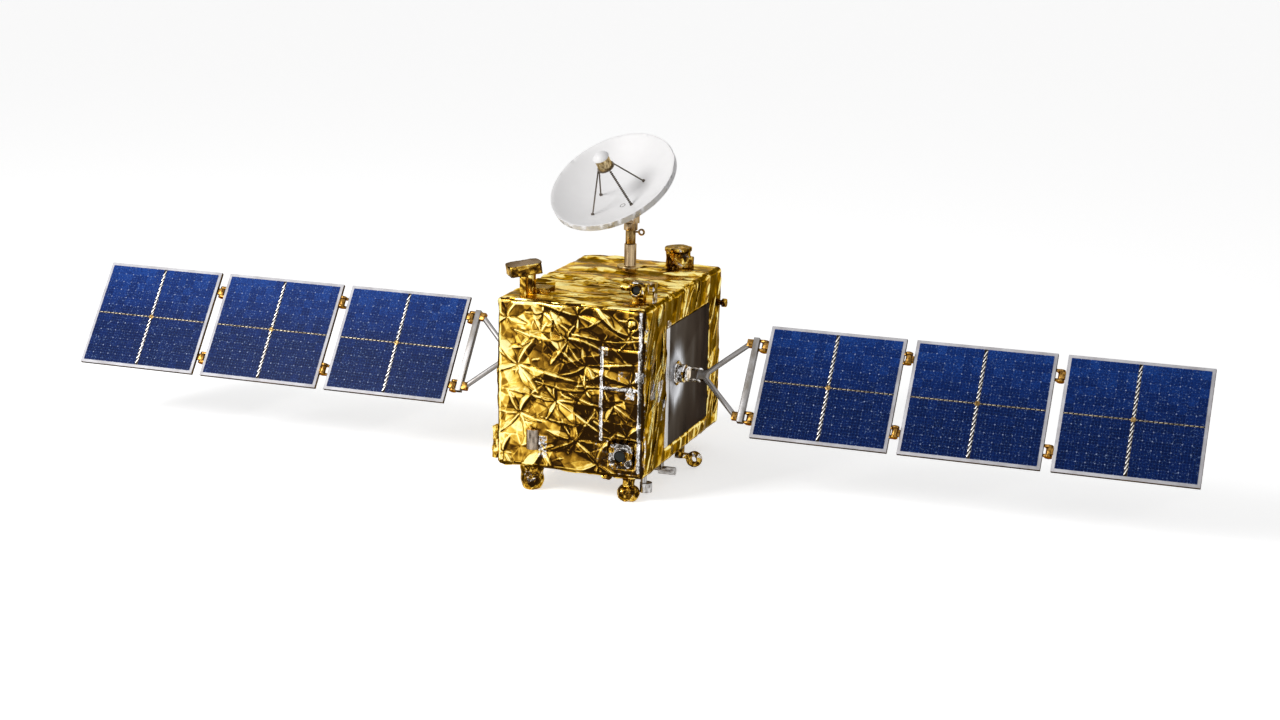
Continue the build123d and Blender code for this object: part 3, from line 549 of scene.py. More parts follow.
for name, walls, outward, u_axis, v_axis, seed, base_painted_light in blankets:
    outward, u_axis, v_axis = Vector(outward), Vector(u_axis), Vector(v_axis)
    half_u = abs(body_half.dot(u_axis))
    half_v = abs(body_half.dot(v_axis))
    half_n = abs(body_half.dot(outward))
    steps_u = round(2 * half_u / film_step)
    steps_v = round(2 * half_v / film_step)
    bpy.ops.mesh.primitive_grid_add(x_subdivisions=steps_u, y_subdivisions=steps_v, size=2)
    blanket = bpy.context.object
    blanket.name = name
    unit = read_points(blanket.data)
    u, v = unit[:, 0] * half_u, unit[:, 1] * half_v
    flat = np.outer(u, u_axis) + np.outer(v, v_axis) + half_n * np.array(outward) + np.array(body_centre)
    rounded, away = round_box(flat)
    lift, shine = wall_lift(name, u, v, half_u, half_v, seed)
    from_edge = np.minimum(half_u - np.abs(u), half_v - np.abs(v))
    lift = lift * np.clip((from_edge - seam_flat) / seam_reach, 0, 1)
    for zone in flat_zones(name, u_axis, v_axis):
        lift = lift * np.clip(-depth_inside(u, v, *zone) / plate_reach, 0, 1)
    level, chance = crumple_of(flat, crease_size, 1)
    lift = lift + crease_height * level + film_low
    across = flat[:, 1] if abs(u_axis.y) > 0.5 else flat[:, 0]
    up = flat[:, 1] if abs(v_axis.y) > 0.5 else flat[:, 2]
    silver = silvered_at(name, across, up)
    lift = lift + tape_height * np.minimum(silver, 1)
    if name == "front_blanket":
        inside = depth_inside(across, up, hatch_low.x, hatch_high.x, hatch_low.z, hatch_high.z)
        lift = lift + hatch_height * np.clip(0.5 + inside / hatch_slope, 0, 1)
        from_vent = np.hypot(across - vent_x, up - vent_z)
        lift = np.where(from_vent < vent_r, vent_height - vent_curve * from_vent ** 2, lift)
    surface = softened(lift.reshape(steps_v + 1, steps_u + 1))
    points = rounded + away * surface.ravel()[:, None]
    blanket.data.vertices.foreach_set("co", points.ravel())
    # the film's painted light and shade, kept on its mesh for the film's finish
    slope_u, slope_v = u_axis.dot(towards_light), v_axis.dot(towards_light)
    painted_light_and_tone = base_painted_light + film_painted_light(surface, shine, level, chance, from_edge, slope_u, slope_v)
    # the front wall is painted lighter at its left and darker to the right
    if name == "front_blanket":
        painted_light_and_tone = painted_light_and_tone + np.interp(u, front_across, front_shade)
    painted_light_and_tone = painted_light_and_tone + (tape_tone - painted_light_and_tone) * np.clip(silver, 0, 1) * tape_evening
    keep_number(blanket.data, "painted_light_and_tone", painted_light_and_tone)
    keep_number(blanket.data, "silver", silver)
    edit_mesh(blanket, "SELECT")
    bpy.ops.mesh.region_to_loop()
    bpy.ops.mesh.extrude_edges_move(TRANSFORM_OT_translate={"value": -skirt * outward})
    taper = [1 if abs(part) > 0.5 else skirt_taper for part in outward]
    bpy.ops.transform.resize(value=taper, center_override=body_centre)
    bpy.ops.mesh.edge_face_add()
    bpy.ops.object.mode_set(mode="OBJECT")
    bpy.ops.object.shade_smooth_by_angle(angle=radians(50))
    fit(blanket, "craft", "gold_foil", gold_film, *walls)

# --- radiators --------------------------------------------------------------
# A dark radiator plate on each side wall throws the craft's heat away. Its coating is
# brushed on in fine upright strokes. A streaky painted highlight, brightest in a soft
# spot, lies beside the wing drive, and a white margin runs down its front edge.
stroke_scale = (0.0, 230.0, 2.5)
# the painted highlight's centre beside the wing drive, and how fast it fades each way
painted_highlight_centre = (0.0, -0.15, 0.66)
painted_highlight_spread = (0.0, 6.0, 4.6)
margin_y = (-0.301, -0.297)
radiator_finish, tree, shader, place = new_finish("radiator_coating", 1.0, 0.36)
shader.inputs["Specular Tint"].default_value = (0.22, 0.21, 0.21, 1.0)
strokes = add_vector_math(tree, "MULTIPLY", place, stroke_scale)
streak = add_noise(tree, strokes, 1.0, 3.0, 0.7).outputs["Fac"]
cloud_at = add_vector_math(tree, "MULTIPLY", place, (1.0, 5.0, 1.6))
cloud = add_noise(tree, cloud_at, 1.3, 2.0).outputs["Fac"]
level = add_math(tree, "MULTIPLY_ADD", streak, 0.30, add_math(tree, "MULTIPLY_ADD", cloud, 0.5, 0.23))
# the painted highlight: brightest at its centre and streaked like the coating
off_centre = add_vector_math(tree, "SUBTRACT", place, painted_highlight_centre)
spread = add_vector_math(tree, "MULTIPLY", off_centre, painted_highlight_spread)
off_painted_highlight = add_vector_math(tree, "LENGTH", spread, (0.0, 0.0, 0.0))
bright = add_step(tree, add_math(tree, "MULTIPLY_ADD", streak, 1.2, off_painted_highlight), 1.85, 1.05, 0.0, 0.52)
level = add_math(tree, "ADD", level, bright)
dark_stops = [(0.45, (0.076, 0.066, 0.056)), (0.70, (0.135, 0.118, 0.100)), (0.84, (0.24, 0.23, 0.22)),
              (1.0, (0.86, 0.87, 0.90))]
along_wall = add_node(tree, "ShaderNodeSeparateXYZ", {0: place}).outputs["Y"]
frayed = add_math(tree, "MULTIPLY_ADD", streak, 0.006, along_wall)
margin = add_step(tree, frayed, *margin_y, 1.0, 0.0)
coating = add_mix(tree, margin, add_ramp(tree, level, dark_stops), (0.82, 0.81, 0.80))
tree.links.new(coating, shader.inputs["Base Color"])
add_bump(tree, shader, streak, 0.15, 0.002)


def add_piece(name, mesh):
    """A new piece that shows this mesh, at the origin."""
    piece = bpy.data.objects.new(name, mesh)
    bpy.context.scene.collection.objects.link(piece)
    return piece


def break_edges(piece, width, angle=30):
    """Round this wide the edges of the active piece that are sharper than an angle in degrees."""
    edge = piece.modifiers.new("broken_edge", "BEVEL")
    edge.width = width
    edge.segments = 2
    edge.limit_method = "ANGLE"
    edge.angle_limit = radians(angle)
    bpy.ops.object.modifier_apply(modifier="broken_edge")


def copy_node(node, name, bevel=0.0, angle=35):
    """A merged copy of a CAD node's mesh, its edges broken by bevel metres, as a new piece."""
    piece = add_piece(name, nodes[node].data.copy())
    edit_mesh(piece, "SELECT")
    bpy.ops.mesh.remove_doubles(threshold=0.00002)
    bpy.ops.mesh.dissolve_limited(angle_limit=radians(0.5))
    bpy.ops.object.mode_set(mode="OBJECT")
    if bevel:
        break_edges(piece, bevel, angle)
    bpy.ops.object.shade_smooth_by_angle(angle=radians(angle))
    return piece


plates = copy_node("radiators", "radiator_plates", 0.002)
fit(plates, "craft", "radiator_coating", radiator_finish, "radiators")

# --- foil-wrapped fittings --------------------------------------------------
# The feet, the deck camera, the star tracker, the drum and the small fittings are each
# wrapped in film, gathered and taped round their shape. Some of it is plain silvered.
wrap_film = foil_finish("wrap_film", 0.24, 0.22, 40.0)
wrapped = [
    # node, body, slot, crease height, crease size, base painted light, share that is silvered
    ("feet", "craft", "gold_foil", 0.0090, 0.042, 0.0, 0.04),
    ("corner_pod", "craft", "gold_foil", 0.0140, 0.050, 0.20, 0.0),
    ("deck_camera_stand", "craft", "gold_foil", 0.0015, 0.05, 0.0, 0.02),
    ("deck_camera_head", "craft", "gold_foil", 0.0025, 0.05, 0.02, 0.0),
    ("deck_drum", "craft", "gold_foil", 0.0060, 0.05, 0.04, 0.02),
    ("star_tracker", "craft", "gold_foil", 0.0035, 0.035, 0.08, 0.12),
    ("tracker_bracket", "craft", "gold_foil", 0.0020, 0.03, 0.05, 0.75),
    ("tie_down_eye", "craft", "gold_foil", 0.0030, 0.03, -0.05, 0.2),
    ("low_gain_antenna", "craft", "gold_fittings", 0.0020, 0.025, -0.05, 0.0),
    ("drive_housings", "craft", "bare_metal", 0.0040, 0.035, 0.14, 0.78),
    ("nav_camera", "craft", "gold_foil", 0.0050, 0.03, -0.10, 0.55),
    ("drive_clevis_right", "drive_right", "bare_metal", 0.0020, 0.03, 0.24, 1.0),
    ("drive_clevis_left", "drive_left", "bare_metal", 0.0020, 0.03, 0.24, 1.0),
]
wrap_step = 0.005
floor_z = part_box("feet")[0][2]


def crease(piece, height, size, seed, base_painted_light, silver_share):
    """Crumple a piece's surface into small flats this high and this wide."""
    mesh = piece.data
    points = read_points(mesh)
    normals = np.empty(len(mesh.vertices) * 3)
    mesh.vertices.foreach_get("normal", normals)
    level, chance = crumple_of(points, size, seed)
    points += normals.reshape(-1, 3) * (height * (level - 0.55))[:, None]
    points[:, 2] = np.maximum(points[:, 2], floor_z)
    mesh.vertices.foreach_set("co", points.ravel())
    # painted light and shade: crease crests painted lighter and hollows darker, each flat also lighter or
    # darker at random
    keep_number(mesh, "painted_light_and_tone", base_painted_light + 0.26 * (level - 0.5) + 0.22 * (chance - 0.5))
    share = np.clip(silver_share + 0.45 * np.sin(chance * 40), 0, 1)
    keep_number(mesh, "silver", share if silver_share else np.zeros(len(points)))
    mesh.update()


def wrap_node(node, name, height, size, seed, base_painted_light, silver_share):
    """A CAD node's shape drawn over with crumpled film, as a new piece."""
    piece = copy_node(node, name)
    skin = piece.modifiers.new("skin", "REMESH")
    skin.mode = "VOXEL"
    skin.voxel_size = wrap_step
    bpy.ops.object.modifier_apply(modifier="skin")
    crease(piece, height, size, seed, base_painted_light, silver_share)
    bpy.ops.object.shade_smooth_by_angle(angle=radians(60))
    return piece


for seed, (node, body, slot, height, size, base_painted_light, silver_share) in enumerate(wrapped):
    piece = wrap_node(node, f"wrapped_{node}", height, size, seed + 10, base_painted_light, silver_share)
    fit(piece, body, slot, wrap_film, node)

# --- gathered film under the front edge -------------------------------------
# Spare film is gathered into a small tuft where the front blanket turns under the body.
# It is the same gold film, crumpled by hand and taped down.
tuft_at = (0.250, -0.752, 0.100)
tuft_half = (0.036, 0.024, 0.022)
bpy.ops.mesh.primitive_ico_sphere_add(subdivisions=5, radius=1, location=tuft_at)
tuft = bpy.context.object
tuft.name = "film_tuft"
tuft.scale = tuft_half
bpy.ops.object.transform_apply(location=True, rotation=False, scale=True)
crease(tuft, 0.016, 0.026, 3, -0.02, 0.0)
bpy.ops.object.shade_smooth_by_angle(angle=radians(60))
fit(tuft, "craft", "gold_foil", wrap_film)

# --- bare and painted metal -------------------------------------------------
# Machined fittings, the launch ring and the engine are bare metal, the hinges are plated
# gold, and the dish is painted white. The mast and the fork have a thin cream coat.


def metal_finish(name, colour, dark, roughness, metallic=1.0, grain=90.0, cloud_size=7.0, bands=1.5):
    """Metal or paint, clouded, with a painted reflection that bands it round its curves by each face's
    direction, and fine machining or orange-peel grain.
    """
    finish, tree, shader, place = new_finish(name, metallic, roughness)
    if metallic == 1.0:
        shader.inputs["Specular Tint"].default_value = (*(min(1.0, 1.25 * part) for part in colour), 1.0)
    facing = add_node(tree, "ShaderNodeTexCoord").outputs["Normal"]
    # a painted reflection: the cloud shifts with each face's direction, so it bands round curves
    banded = add_vector_math(tree, "MULTIPLY_ADD", facing, (bands / cloud_size,) * 3, place)
    cloud = add_noise(tree, banded, cloud_size, 4.0, 0.6).outputs["Fac"]
    stops = [(0.35, dark), (0.62, colour)]
    tree.links.new(add_ramp(tree, cloud, stops), shader.inputs["Base Color"])
    fine = add_noise(tree, place, grain, 3.0, 0.6).outputs["Fac"]
    gloss = add_step(tree, fine, 0.0, 1.0, roughness * 0.8, min(1.0, roughness * 1.3))
    tree.links.new(gloss, shader.inputs["Roughness"])
    add_bump(tree, shader, fine, 0.12, 0.002)
    return finish


bare_metal = metal_finish("bare_metal", (0.60, 0.59, 0.58), (0.18, 0.16, 0.15), 0.28, cloud_size=22.0)
grey_metal = metal_finish("grey_metal", (0.34, 0.33, 0.33), (0.20, 0.18, 0.16), 0.40)
smoked_metal = metal_finish("smoked_metal", (0.40, 0.33, 0.26), (0.06, 0.045, 0.03), 0.25, bands=2.5)
gold_plate = metal_finish("gold_plate", (0.40, 0.215, 0.050), (0.060, 0.026, 0.005), 0.26,
                          cloud_size=26.0, bands=3.0)
bronze = metal_finish("bronze", (0.40, 0.26, 0.10), (0.10, 0.056, 0.016), 0.26, bands=1.3)
pale_gold = metal_finish("pale_gold", (0.66, 0.52, 0.29), (0.15, 0.095, 0.035), 0.28,
                         cloud_size=20.0, bands=2.0)
white_paint = metal_finish("white_paint", (0.82, 0.81, 0.81), (0.78, 0.77, 0.77), 0.45,
                           0.0, 400.0, 3.0, 0.0)
cream_metal = metal_finish("cream_metal", (0.46, 0.34, 0.20), (0.20, 0.125, 0.06), 0.24, bands=1.3)
dark_metal = metal_finish("dark_metal", (0.10, 0.085, 0.07), (0.03, 0.022, 0.016), 0.40)
strut_metal = metal_finish("strut_metal", (0.24, 0.21, 0.18), (0.08, 0.065, 0.05), 0.40, grain=200.0)
metal_pieces = [
    # node, new name, body, slot, finish, bevel
    ("launch_ring", "ring_channel", "craft", "bare_metal", bare_metal, 0.0015),
    ("main_engine", "engine_bell", "craft", "bare_metal", dark_metal, 0.0012),
    ("thrusters", "thruster_pair", "craft", "bare_metal", bare_metal, 0.003),
    ("front_shroud", "shroud_shell", "craft", "bare_metal", smoked_metal, 0.010),
    ("mast", "mast_tube", "craft", "white_paint", cream_metal, 0.002),
    ("azimuth_tube", "turning_tube", "antenna_mount", "gold_fittings", bronze, 0.0015),
    ("elevation_fork", "tilting_fork", "antenna_mount", "white_paint", cream_metal, 0.002),
    ("dish_hub", "dish_boss", "antenna", "white_paint", cream_metal, 0.002),
    ("dish", "dish_bowl", "antenna", "white_paint", white_paint, 0.0),
    ("feed_horn", "feed_can", "antenna", "gold_fittings", pale_gold, 0.002),
    ("feed_cap", "feed_dome", "antenna", "white_paint", white_paint, 0.0),
    ("feed_struts", "feed_legs", "antenna", "grey_metal", strut_metal, 0.0),
]
for side in ("right", "left"):
    metal_pieces += [
        (f"yoke_arms_{side}", f"arms_{side}", f"yoke_{side}", "grey_metal", grey_metal, 0.0015),
        (f"yoke_beam_{side}", f"beam_{side}", f"yoke_{side}", "grey_metal", grey_metal, 0.003),
        (f"yoke_fittings_{side}", f"fittings_{side}", f"yoke_{side}", "gold_fittings", gold_plate, 0.003),
    ]
    for k in (1, 2, 3):
        metal_pieces.append((f"hinges_{k}_{side}", f"hinge_set_{k}_{side}", f"panel_{k}_{side}",
                             "gold_fittings", gold_plate, 0.0015))
for node, name, body, slot, finish, bevel in metal_pieces:
    fit(copy_node(node, name, bevel), body, slot, finish, node)


def second_finish(name, finish, chosen):
    """Give a piece a second finish on the faces that are chosen by their centre and direction."""
    mesh = bpy.data.objects[name].data
    mesh.materials.append(finish)
    number = len(mesh.materials) - 1
    for face in mesh.polygons:
        if chosen(face.center, face.normal):
            face.material_index = number


# the thrusters are smoked inboard of this x, and the mast's foot is gilt below this z
smoked_x, gilt_z = 0.468, 1.235
second_finish("wrapped_deck_camera_head", smoked_metal, lambda centre, normal: normal.z > 0.8)
second_finish("thruster_pair", smoked_metal, lambda centre, normal: centre.x < smoked_x)
second_finish("mast_tube", pale_gold, lambda centre, normal: centre.z < gilt_z)

# --- beads and port on the dish ---------------------------------------------
# The feed's cable runs down one strut inside a string of small dark beads, to a round
# port with a metal rim in the bowl.
pivot_offset = 0.036
bead_r, bead_thick_r = 0.0062, 0.0034
port_r, port_rim_r = 0.018, 0.0025
joints = {joint["name"]: joint for joint in frame["joints"]}
dish_x = Vector(joints["dish_tilt"]["axis"])
dish_origin = Vector(joints["dish_tilt"]["pos_m"]) - pivot_offset * dish_x
cap_low, cap_high = (Vector(corner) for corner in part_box("feed_cap"))
dish_z = (cap_low + cap_high) / 2 - dish_origin
dish_z = (dish_z - dish_z.dot(dish_x) * dish_x).normalized()
dish_y = dish_z.cross(dish_x)
bowl_vertex = 0.110
bowl_sphere_r = 0.680


def on_dish(x, y, z):
    """A point in the dish's own directions, as a place on the craft."""
    return dish_origin + x * dish_x + y * dish_y + z * dish_z


def bowl_rise(x, y):
    """Height of the bowl's inner face at a point across it."""
    return bowl_vertex + bowl_sphere_r - sqrt(bowl_sphere_r ** 2 - x ** 2 - y ** 2)


def repeat(piece, *rows):
    """Repeat a piece count times by each step in turn."""
    for count, step in rows:
        row = piece.modifiers.new("row", "ARRAY")
        row.count = count
        row.use_relative_offset = False
        row.use_constant_offset = True
        row.constant_offset_displace = step
        select_only(piece)
        bpy.ops.object.modifier_apply(modifier="row")


def stand_on(piece, place, way):
    """Turn a piece's z to point this way and set it at a place."""
    turn = way.to_track_quat("Z", "Y").to_matrix().to_4x4()
    piece.data.transform(Matrix.Translation(place) @ turn)


strut_turn = radians(333)
foot_r, head_r, head_z = 0.173, 0.054, 0.387
foot_x, foot_y = foot_r * cos(strut_turn), foot_r * sin(strut_turn)
foot = on_dish(foot_x, foot_y, bowl_rise(foot_x, foot_y))
head = on_dish(head_r * cos(strut_turn), head_r * sin(strut_turn), head_z)
bead_gap = 0.0125
bead_count = int((head - foot).length / bead_gap) - 1
bpy.ops.mesh.primitive_torus_add(major_segments=14, minor_segments=6,
                                 major_radius=bead_r, minor_radius=bead_thick_r)
beads = bpy.context.object
beads.name = "strut_beads"
repeat(beads, (bead_count, (0, 0, bead_gap)))
along = (head - foot).normalized()
stand_on(beads, foot + bead_gap * along, along)
bpy.ops.object.shade_smooth()
fit(beads, "antenna", "grey_metal", dark_metal)

bpy.ops.mesh.primitive_torus_add(major_segments=32, minor_segments=8,
                                 major_radius=port_r, minor_radius=port_rim_r)
port = bpy.context.object
port.name = "bowl_port"
port_x, port_y = 0.074, -0.084
port_at = on_dish(port_x, port_y, bowl_rise(port_x, port_y))
stand_on(port, port_at, (on_dish(0, 0, bowl_vertex + bowl_sphere_r) - port_at).normalized())
bpy.ops.object.shade_smooth()
fit(port, "antenna", "grey_metal", grey_metal)

# --- lenses -----------------------------------------------------------------
# The navigation camera and the star tracker look out through small lenses. They are
# coated glass, nearly black, seated in their barrels.
lens_glass, tree, shader, place = new_finish("lens_glass", 0.0, 0.05, 0.15)
shader.inputs["Specular IOR Level"].default_value = 0.12
tint = add_noise(tree, place, 25.0, 1.0).outputs["Fac"]
tree.links.new(add_ramp(tree, tint, [(0.35, (0.006, 0.008, 0.007)), (0.65, (0.014, 0.018, 0.014))]),
               shader.inputs["Base Color"])
for node in ("nav_lens", "tracker_lens"):
    lens = copy_node(node, f"{node}_glass", 0.003)
    fit(lens, "craft", "lens_glass", lens_glass, node)

# --- wing panels ------------------------------------------------------------
# Each wing is three sandwich panels with pale faces. Their edges are closed with
# amber tape, and the backs are black carbon weave.
wing_up = -Vector(joints["wing_fold_right"]["axis"])
wing_root = Vector(joints["wing_fold_right"]["pos_m"])
wing_out = Vector((1, 0, 0)).cross(wing_up)


def span(node, direction):
    """Where a CAD node starts and ends along a direction, and how long it is that way."""
    reach = read_points(nodes[node].data) @ np.array(direction)
    return reach.min(), reach.max(), np.ptp(reach)


panel_face = metal_finish("panel_face", (0.64, 0.63, 0.66), (0.46, 0.44, 0.46), 0.45,
                          0.0, 250.0, 9.0, 0.0)
amber_tape_and_painted_shade = metal_finish("amber_tape_and_painted_shade", (0.13, 0.085, 0.03), (0.045, 0.03, 0.012), 0.40)
panel_back, tree, shader, place = new_finish("panel_back", 0.0, 0.42)
weave = add_node(tree, "ShaderNodeTexChecker", {"Vector": place, "Scale": 180.0,
                                                "Color1": (0.030, 0.030, 0.032, 1),
                                                "Color2": (0.050, 0.050, 0.053, 1)})
tree.links.new(weave.outputs["Color"], shader.inputs["Base Color"])
add_bump(tree, shader, weave.outputs["Fac"], 0.2, 0.001)

panels = [f"{k}_{side}" for side in ("right", "left") for k in (1, 2, 3)]
board_rounding = 0.0028
for panel in panels:
    node, name = f"panel_{panel}", f"panel_{panel}_board"
    fit(copy_node(node, name, board_rounding), node, "wing_panel", panel_face, node)
    second_finish(name, amber_tape_and_painted_shade, lambda centre, normal: normal.dot(wing_out) <= 0.5)
    second_finish(name, panel_back, lambda centre, normal: normal.dot(wing_out) < -0.9)
# the yoke arms and beams take the dark tape finish on their back and lower faces as painted shade
for name in ("beam_right", "arms_right", "beam_left", "arms_left"):
    second_finish(name, amber_tape_and_painted_shade,
                  lambda centre, normal: normal.dot(wing_out) < -0.2 or normal.z < -0.6)

# --- solar cells ------------------------------------------------------------
# Blue cells with cropped corners lie in four blocks of seven by six on each panel, glued
# down under glass. The paler board under them shows at the corners.
cells_top = span("cells_1_right", wing_out)[1] - wing_root.dot(wing_out)
field_width = span("cells_1_right", (1, 0, 0))[2]
field_height = span("cells_1_right", wing_up)[2]
strip_width = 0.024
channel_width = 0.013
block_width = (field_width - strip_width) / 2
block_height = (field_height - channel_width) / 2
cells_across, cells_up = 7, 6
pitch_x = block_width / cells_across
pitch_y = block_height / cells_up
cell_gap = 0.0004
cell_crop = 0.0050
cell_thick = 0.0006

cell_glass, tree, shader, place = new_finish("cell_glass", 0.0, 0.32)
shader.inputs["Specular IOR Level"].default_value = 0.05
cell_uv = add_node(tree, "ShaderNodeUVMap", uv_map="cells").outputs["UV"]
split = add_node(tree, "ShaderNodeSeparateXYZ", {0: cell_uv})
lines = 0.0
# direction across a cell, how many lines, and the share of their pitch that each is wide
for axis, count, width in (("X", 3.0, 0.16), ("Y", 3.0, 0.16), ("Y", 24.0, 0.30)):
    across = add_math(tree, "FRACT", add_math(tree, "MULTIPLY", split.outputs[axis], count))
    edge = add_math(tree, "ABSOLUTE", add_math(tree, "SUBTRACT", across, 0.5))
    line = add_math(tree, "GREATER_THAN", edge, 0.5 - width / 2)
    line = add_math(tree, "MULTIPLY", line, 0.32 if count < 10 else 0.08)
    lines = add_math(tree, "ADD", line, lines)
speck = add_noise(tree, place, 130.0, 3.0, 0.7).outputs["Fac"]
height = add_node(tree, "ShaderNodeSeparateXYZ", {0: place}).outputs["Z"]
# the cells are painted lighter towards the top of the wing, a painted light gradient
painted_light_up = add_step(tree, height, wing_root.z - 0.10, wing_root.z + 0.36, 0.0, 0.46)
shade = add_math(tree, "ADD", read_number(tree, "shade"), painted_light_up)
tint = add_math(tree, "MULTIPLY_ADD", speck, 1.5, add_math(tree, "SUBTRACT", shade, 0.52))
blue = add_ramp(tree, tint, [(0.28, (0.0012, 0.007, 0.050)), (0.64, (0.0034, 0.020, 0.135)),
                             (0.90, (0.012, 0.062, 0.30))])
flecks = add_step(tree, add_noise(tree, place, 100.0, 2.0, 0.6).outputs["Fac"], 0.61, 0.68, 0.0, 0.60)
grid = add_mix(tree, lines, blue, (0.013, 0.053, 0.24))
tree.links.new(add_mix(tree, flecks, grid, (0.16, 0.25, 0.46)), shader.inputs["Base Color"])


def block(*sizes):
    """A plain block of these sizes at the origin."""
    bpy.ops.mesh.primitive_cube_add(size=1)
    made = bpy.context.object
    made.scale = sizes
    bpy.ops.object.transform_apply(location=False, rotation=False, scale=True)
    return made


cell = block(pitch_x - cell_gap, pitch_y - cell_gap, cell_thick)
edit_mesh(cell, "DESELECT", "EDGE")
bpy.ops.object.mode_set(mode="OBJECT")
for edge in cell.data.edges:
    low_end, high_end = (cell.data.vertices[index].co for index in edge.vertices)
    edge.select = abs(low_end.z - high_end.z) > cell_thick / 2
bpy.ops.object.mode_set(mode="EDIT")
bpy.ops.mesh.bevel(offset=cell_crop, segments=1)
bpy.ops.object.mode_set(mode="OBJECT")
corner_points = np.empty(len(cell.data.loops), dtype=np.int64)
cell.data.loops.foreach_get("vertex_index", corner_points)
on_cell = read_points(cell.data)[:, :2] / (pitch_x, pitch_y) + 0.5
uv_layer = cell.data.uv_layers.new(name="cells")
uv_layer.data.foreach_set("uv", on_cell[corner_points].ravel())
points_per_cell = len(cell.data.vertices)
repeat(cell, (cells_across, (pitch_x, 0, 0)), (cells_up, (0, pitch_y, 0)),
       (2, (block_width + strip_width, 0, 0)), (2, (0, block_height + channel_width, 0)))
rng = np.random.default_rng(12)
cell_count = len(cell.data.vertices) // points_per_cell
keep_number(cell.data, "shade", np.repeat(rng.uniform(0.0, 0.20, cell_count), points_per_cell))


def take_sheet(piece, low):
    """The mesh of a piece, centred on a panel with its middle this high over the cells.

    It is there to be copied, and the piece itself goes.
    """
    sheet = piece.data
    centre = (Vector(piece.bound_box[0]) + Vector(piece.bound_box[6])) / 2
    sheet.transform(Matrix.Translation((-centre.x, -centre.y, cells_top + low)))
    bpy.data.objects.remove(piece)
    return sheet


def fit_on_panels(name, sheet, slot, finish):
    """A piece with its own copy of this mesh on each of the six panels."""
    for panel in panels:
        sign = 1 if panel.endswith("right") else -1
        box_low, box_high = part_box(f"cells_{panel}")
        middle = Vector(((box_low[0] + box_high[0]) / 2, wing_root.y, wing_root.z))
        turn = Matrix(((sign, 0, 0), sign * wing_up, wing_out)).transposed().to_4x4()
        piece = add_piece(f"{name}_{panel}", sheet.copy())
        piece.data.transform(Matrix.Translation(middle) @ turn)
        fit(piece, f"panel_{panel}", slot, finish)


fit_on_panels("cell_tiles", take_sheet(cell, cell_thick / 2), "solar_cells", cell_glass)
cell_board = metal_finish("cell_board", (0.30, 0.38, 0.60), (0.02, 0.05, 0.17), 0.5,
                          0.0, 300.0, 22.0, 0.0)
for panel in panels:
    for material_slot in nodes[f"cells_{panel}"].material_slots:
        material_slot.material = cell_board

# --- leads between the cells -------------------------------------------------
# Between the cell blocks runs a twisted silver lead in a dark metal channel, with a thin
# gilt lead across it in a channel of its own. All are soldered down.


def round_bar(length, width, height, rounding):
    """A flat bar with rounded edges at the origin."""
    made = block(length, width, height)
    break_edges(made, rounding)
    bpy.ops.object.shade_smooth_by_angle(angle=radians(40))
    return made


def join(first, *others):
    """Join pieces into the first."""
    select_only(first)
    for other in others:
        other.select_set(True)
    bpy.ops.object.join()


silver_wire = metal_finish("silver_wire", (0.95, 0.94, 0.92), (0.55, 0.49, 0.41), 0.30, cloud_size=30.0)
lead_wire = metal_finish("lead_wire", (0.74, 0.64, 0.48), (0.10, 0.07, 0.045), 0.35, cloud_size=16.0)
silver_bar = (0.0450, 0.0064, 0.0036, 0.0014)
gilt_bar = (0.0210, 0.0040, 0.0024, 0.0009)
leads = [
    # name, bar, its turn in degrees, length of the lead, step from bar to bar, height, finish
    ("twisted_lead", silver_bar, 68, field_height, (0, 0.036, 0), 0.0020, silver_wire),
    ("cross_lead", gilt_bar, 5, field_width, (0.0305, 0, 0), 0.0015, lead_wire),
]
for name, bar, turn, run, step, low, finish in leads:
    strand = round_bar(*bar)
    strand.data.transform(Matrix.Rotation(radians(turn), 4, "Z"))
    repeat(strand, (int(run / max(step)), step))
    fit_on_panels(name, take_sheet(strand, low), "bare_metal", finish)

channel_breadth, cross_breadth = 0.0215, 0.0115
channel = round_bar(channel_breadth, field_height, 0.0008, 0.0003)
join(channel, round_bar(field_width, cross_breadth, 0.0009, 0.0003))
channel_metal = metal_finish("channel_metal", (0.040, 0.030, 0.022), (0.010, 0.008, 0.007), 0.45)
fit_on_panels("lead_channel", take_sheet(channel, 0.0004), "bare_metal", channel_metal)

# --- bosses over the crossings -----------------------------------------------
# A small round boss of turned bronze, with a step and a sunk middle, is bolted down where
# the leads cross.
boss_r, boss_height = 0.017, 0.0034
# each step's border and rise: a raised step, then the sunk middle
boss_steps = [(0.006, 0.0014), (0.003, -0.0010)]
bpy.ops.mesh.primitive_cylinder_add(vertices=24, radius=boss_r, depth=boss_height)
boss = bpy.context.object
edit_mesh(boss, "DESELECT", "FACE")
bpy.ops.object.mode_set(mode="OBJECT")
for face in boss.data.polygons:
    face.select = face.normal.z > 0.9
bpy.ops.object.mode_set(mode="EDIT")
for border, rise in boss_steps:
    bpy.ops.mesh.inset(thickness=border)
    bpy.ops.mesh.extrude_region_move(TRANSFORM_OT_translate={"value": (0, 0, rise)})
bpy.ops.object.mode_set(mode="OBJECT")
break_edges(boss, 0.0004)
bpy.ops.object.shade_smooth_by_angle(angle=radians(35))
fit_on_panels("crossing_boss", take_sheet(boss, 0.0025), "gold_fittings", bronze)

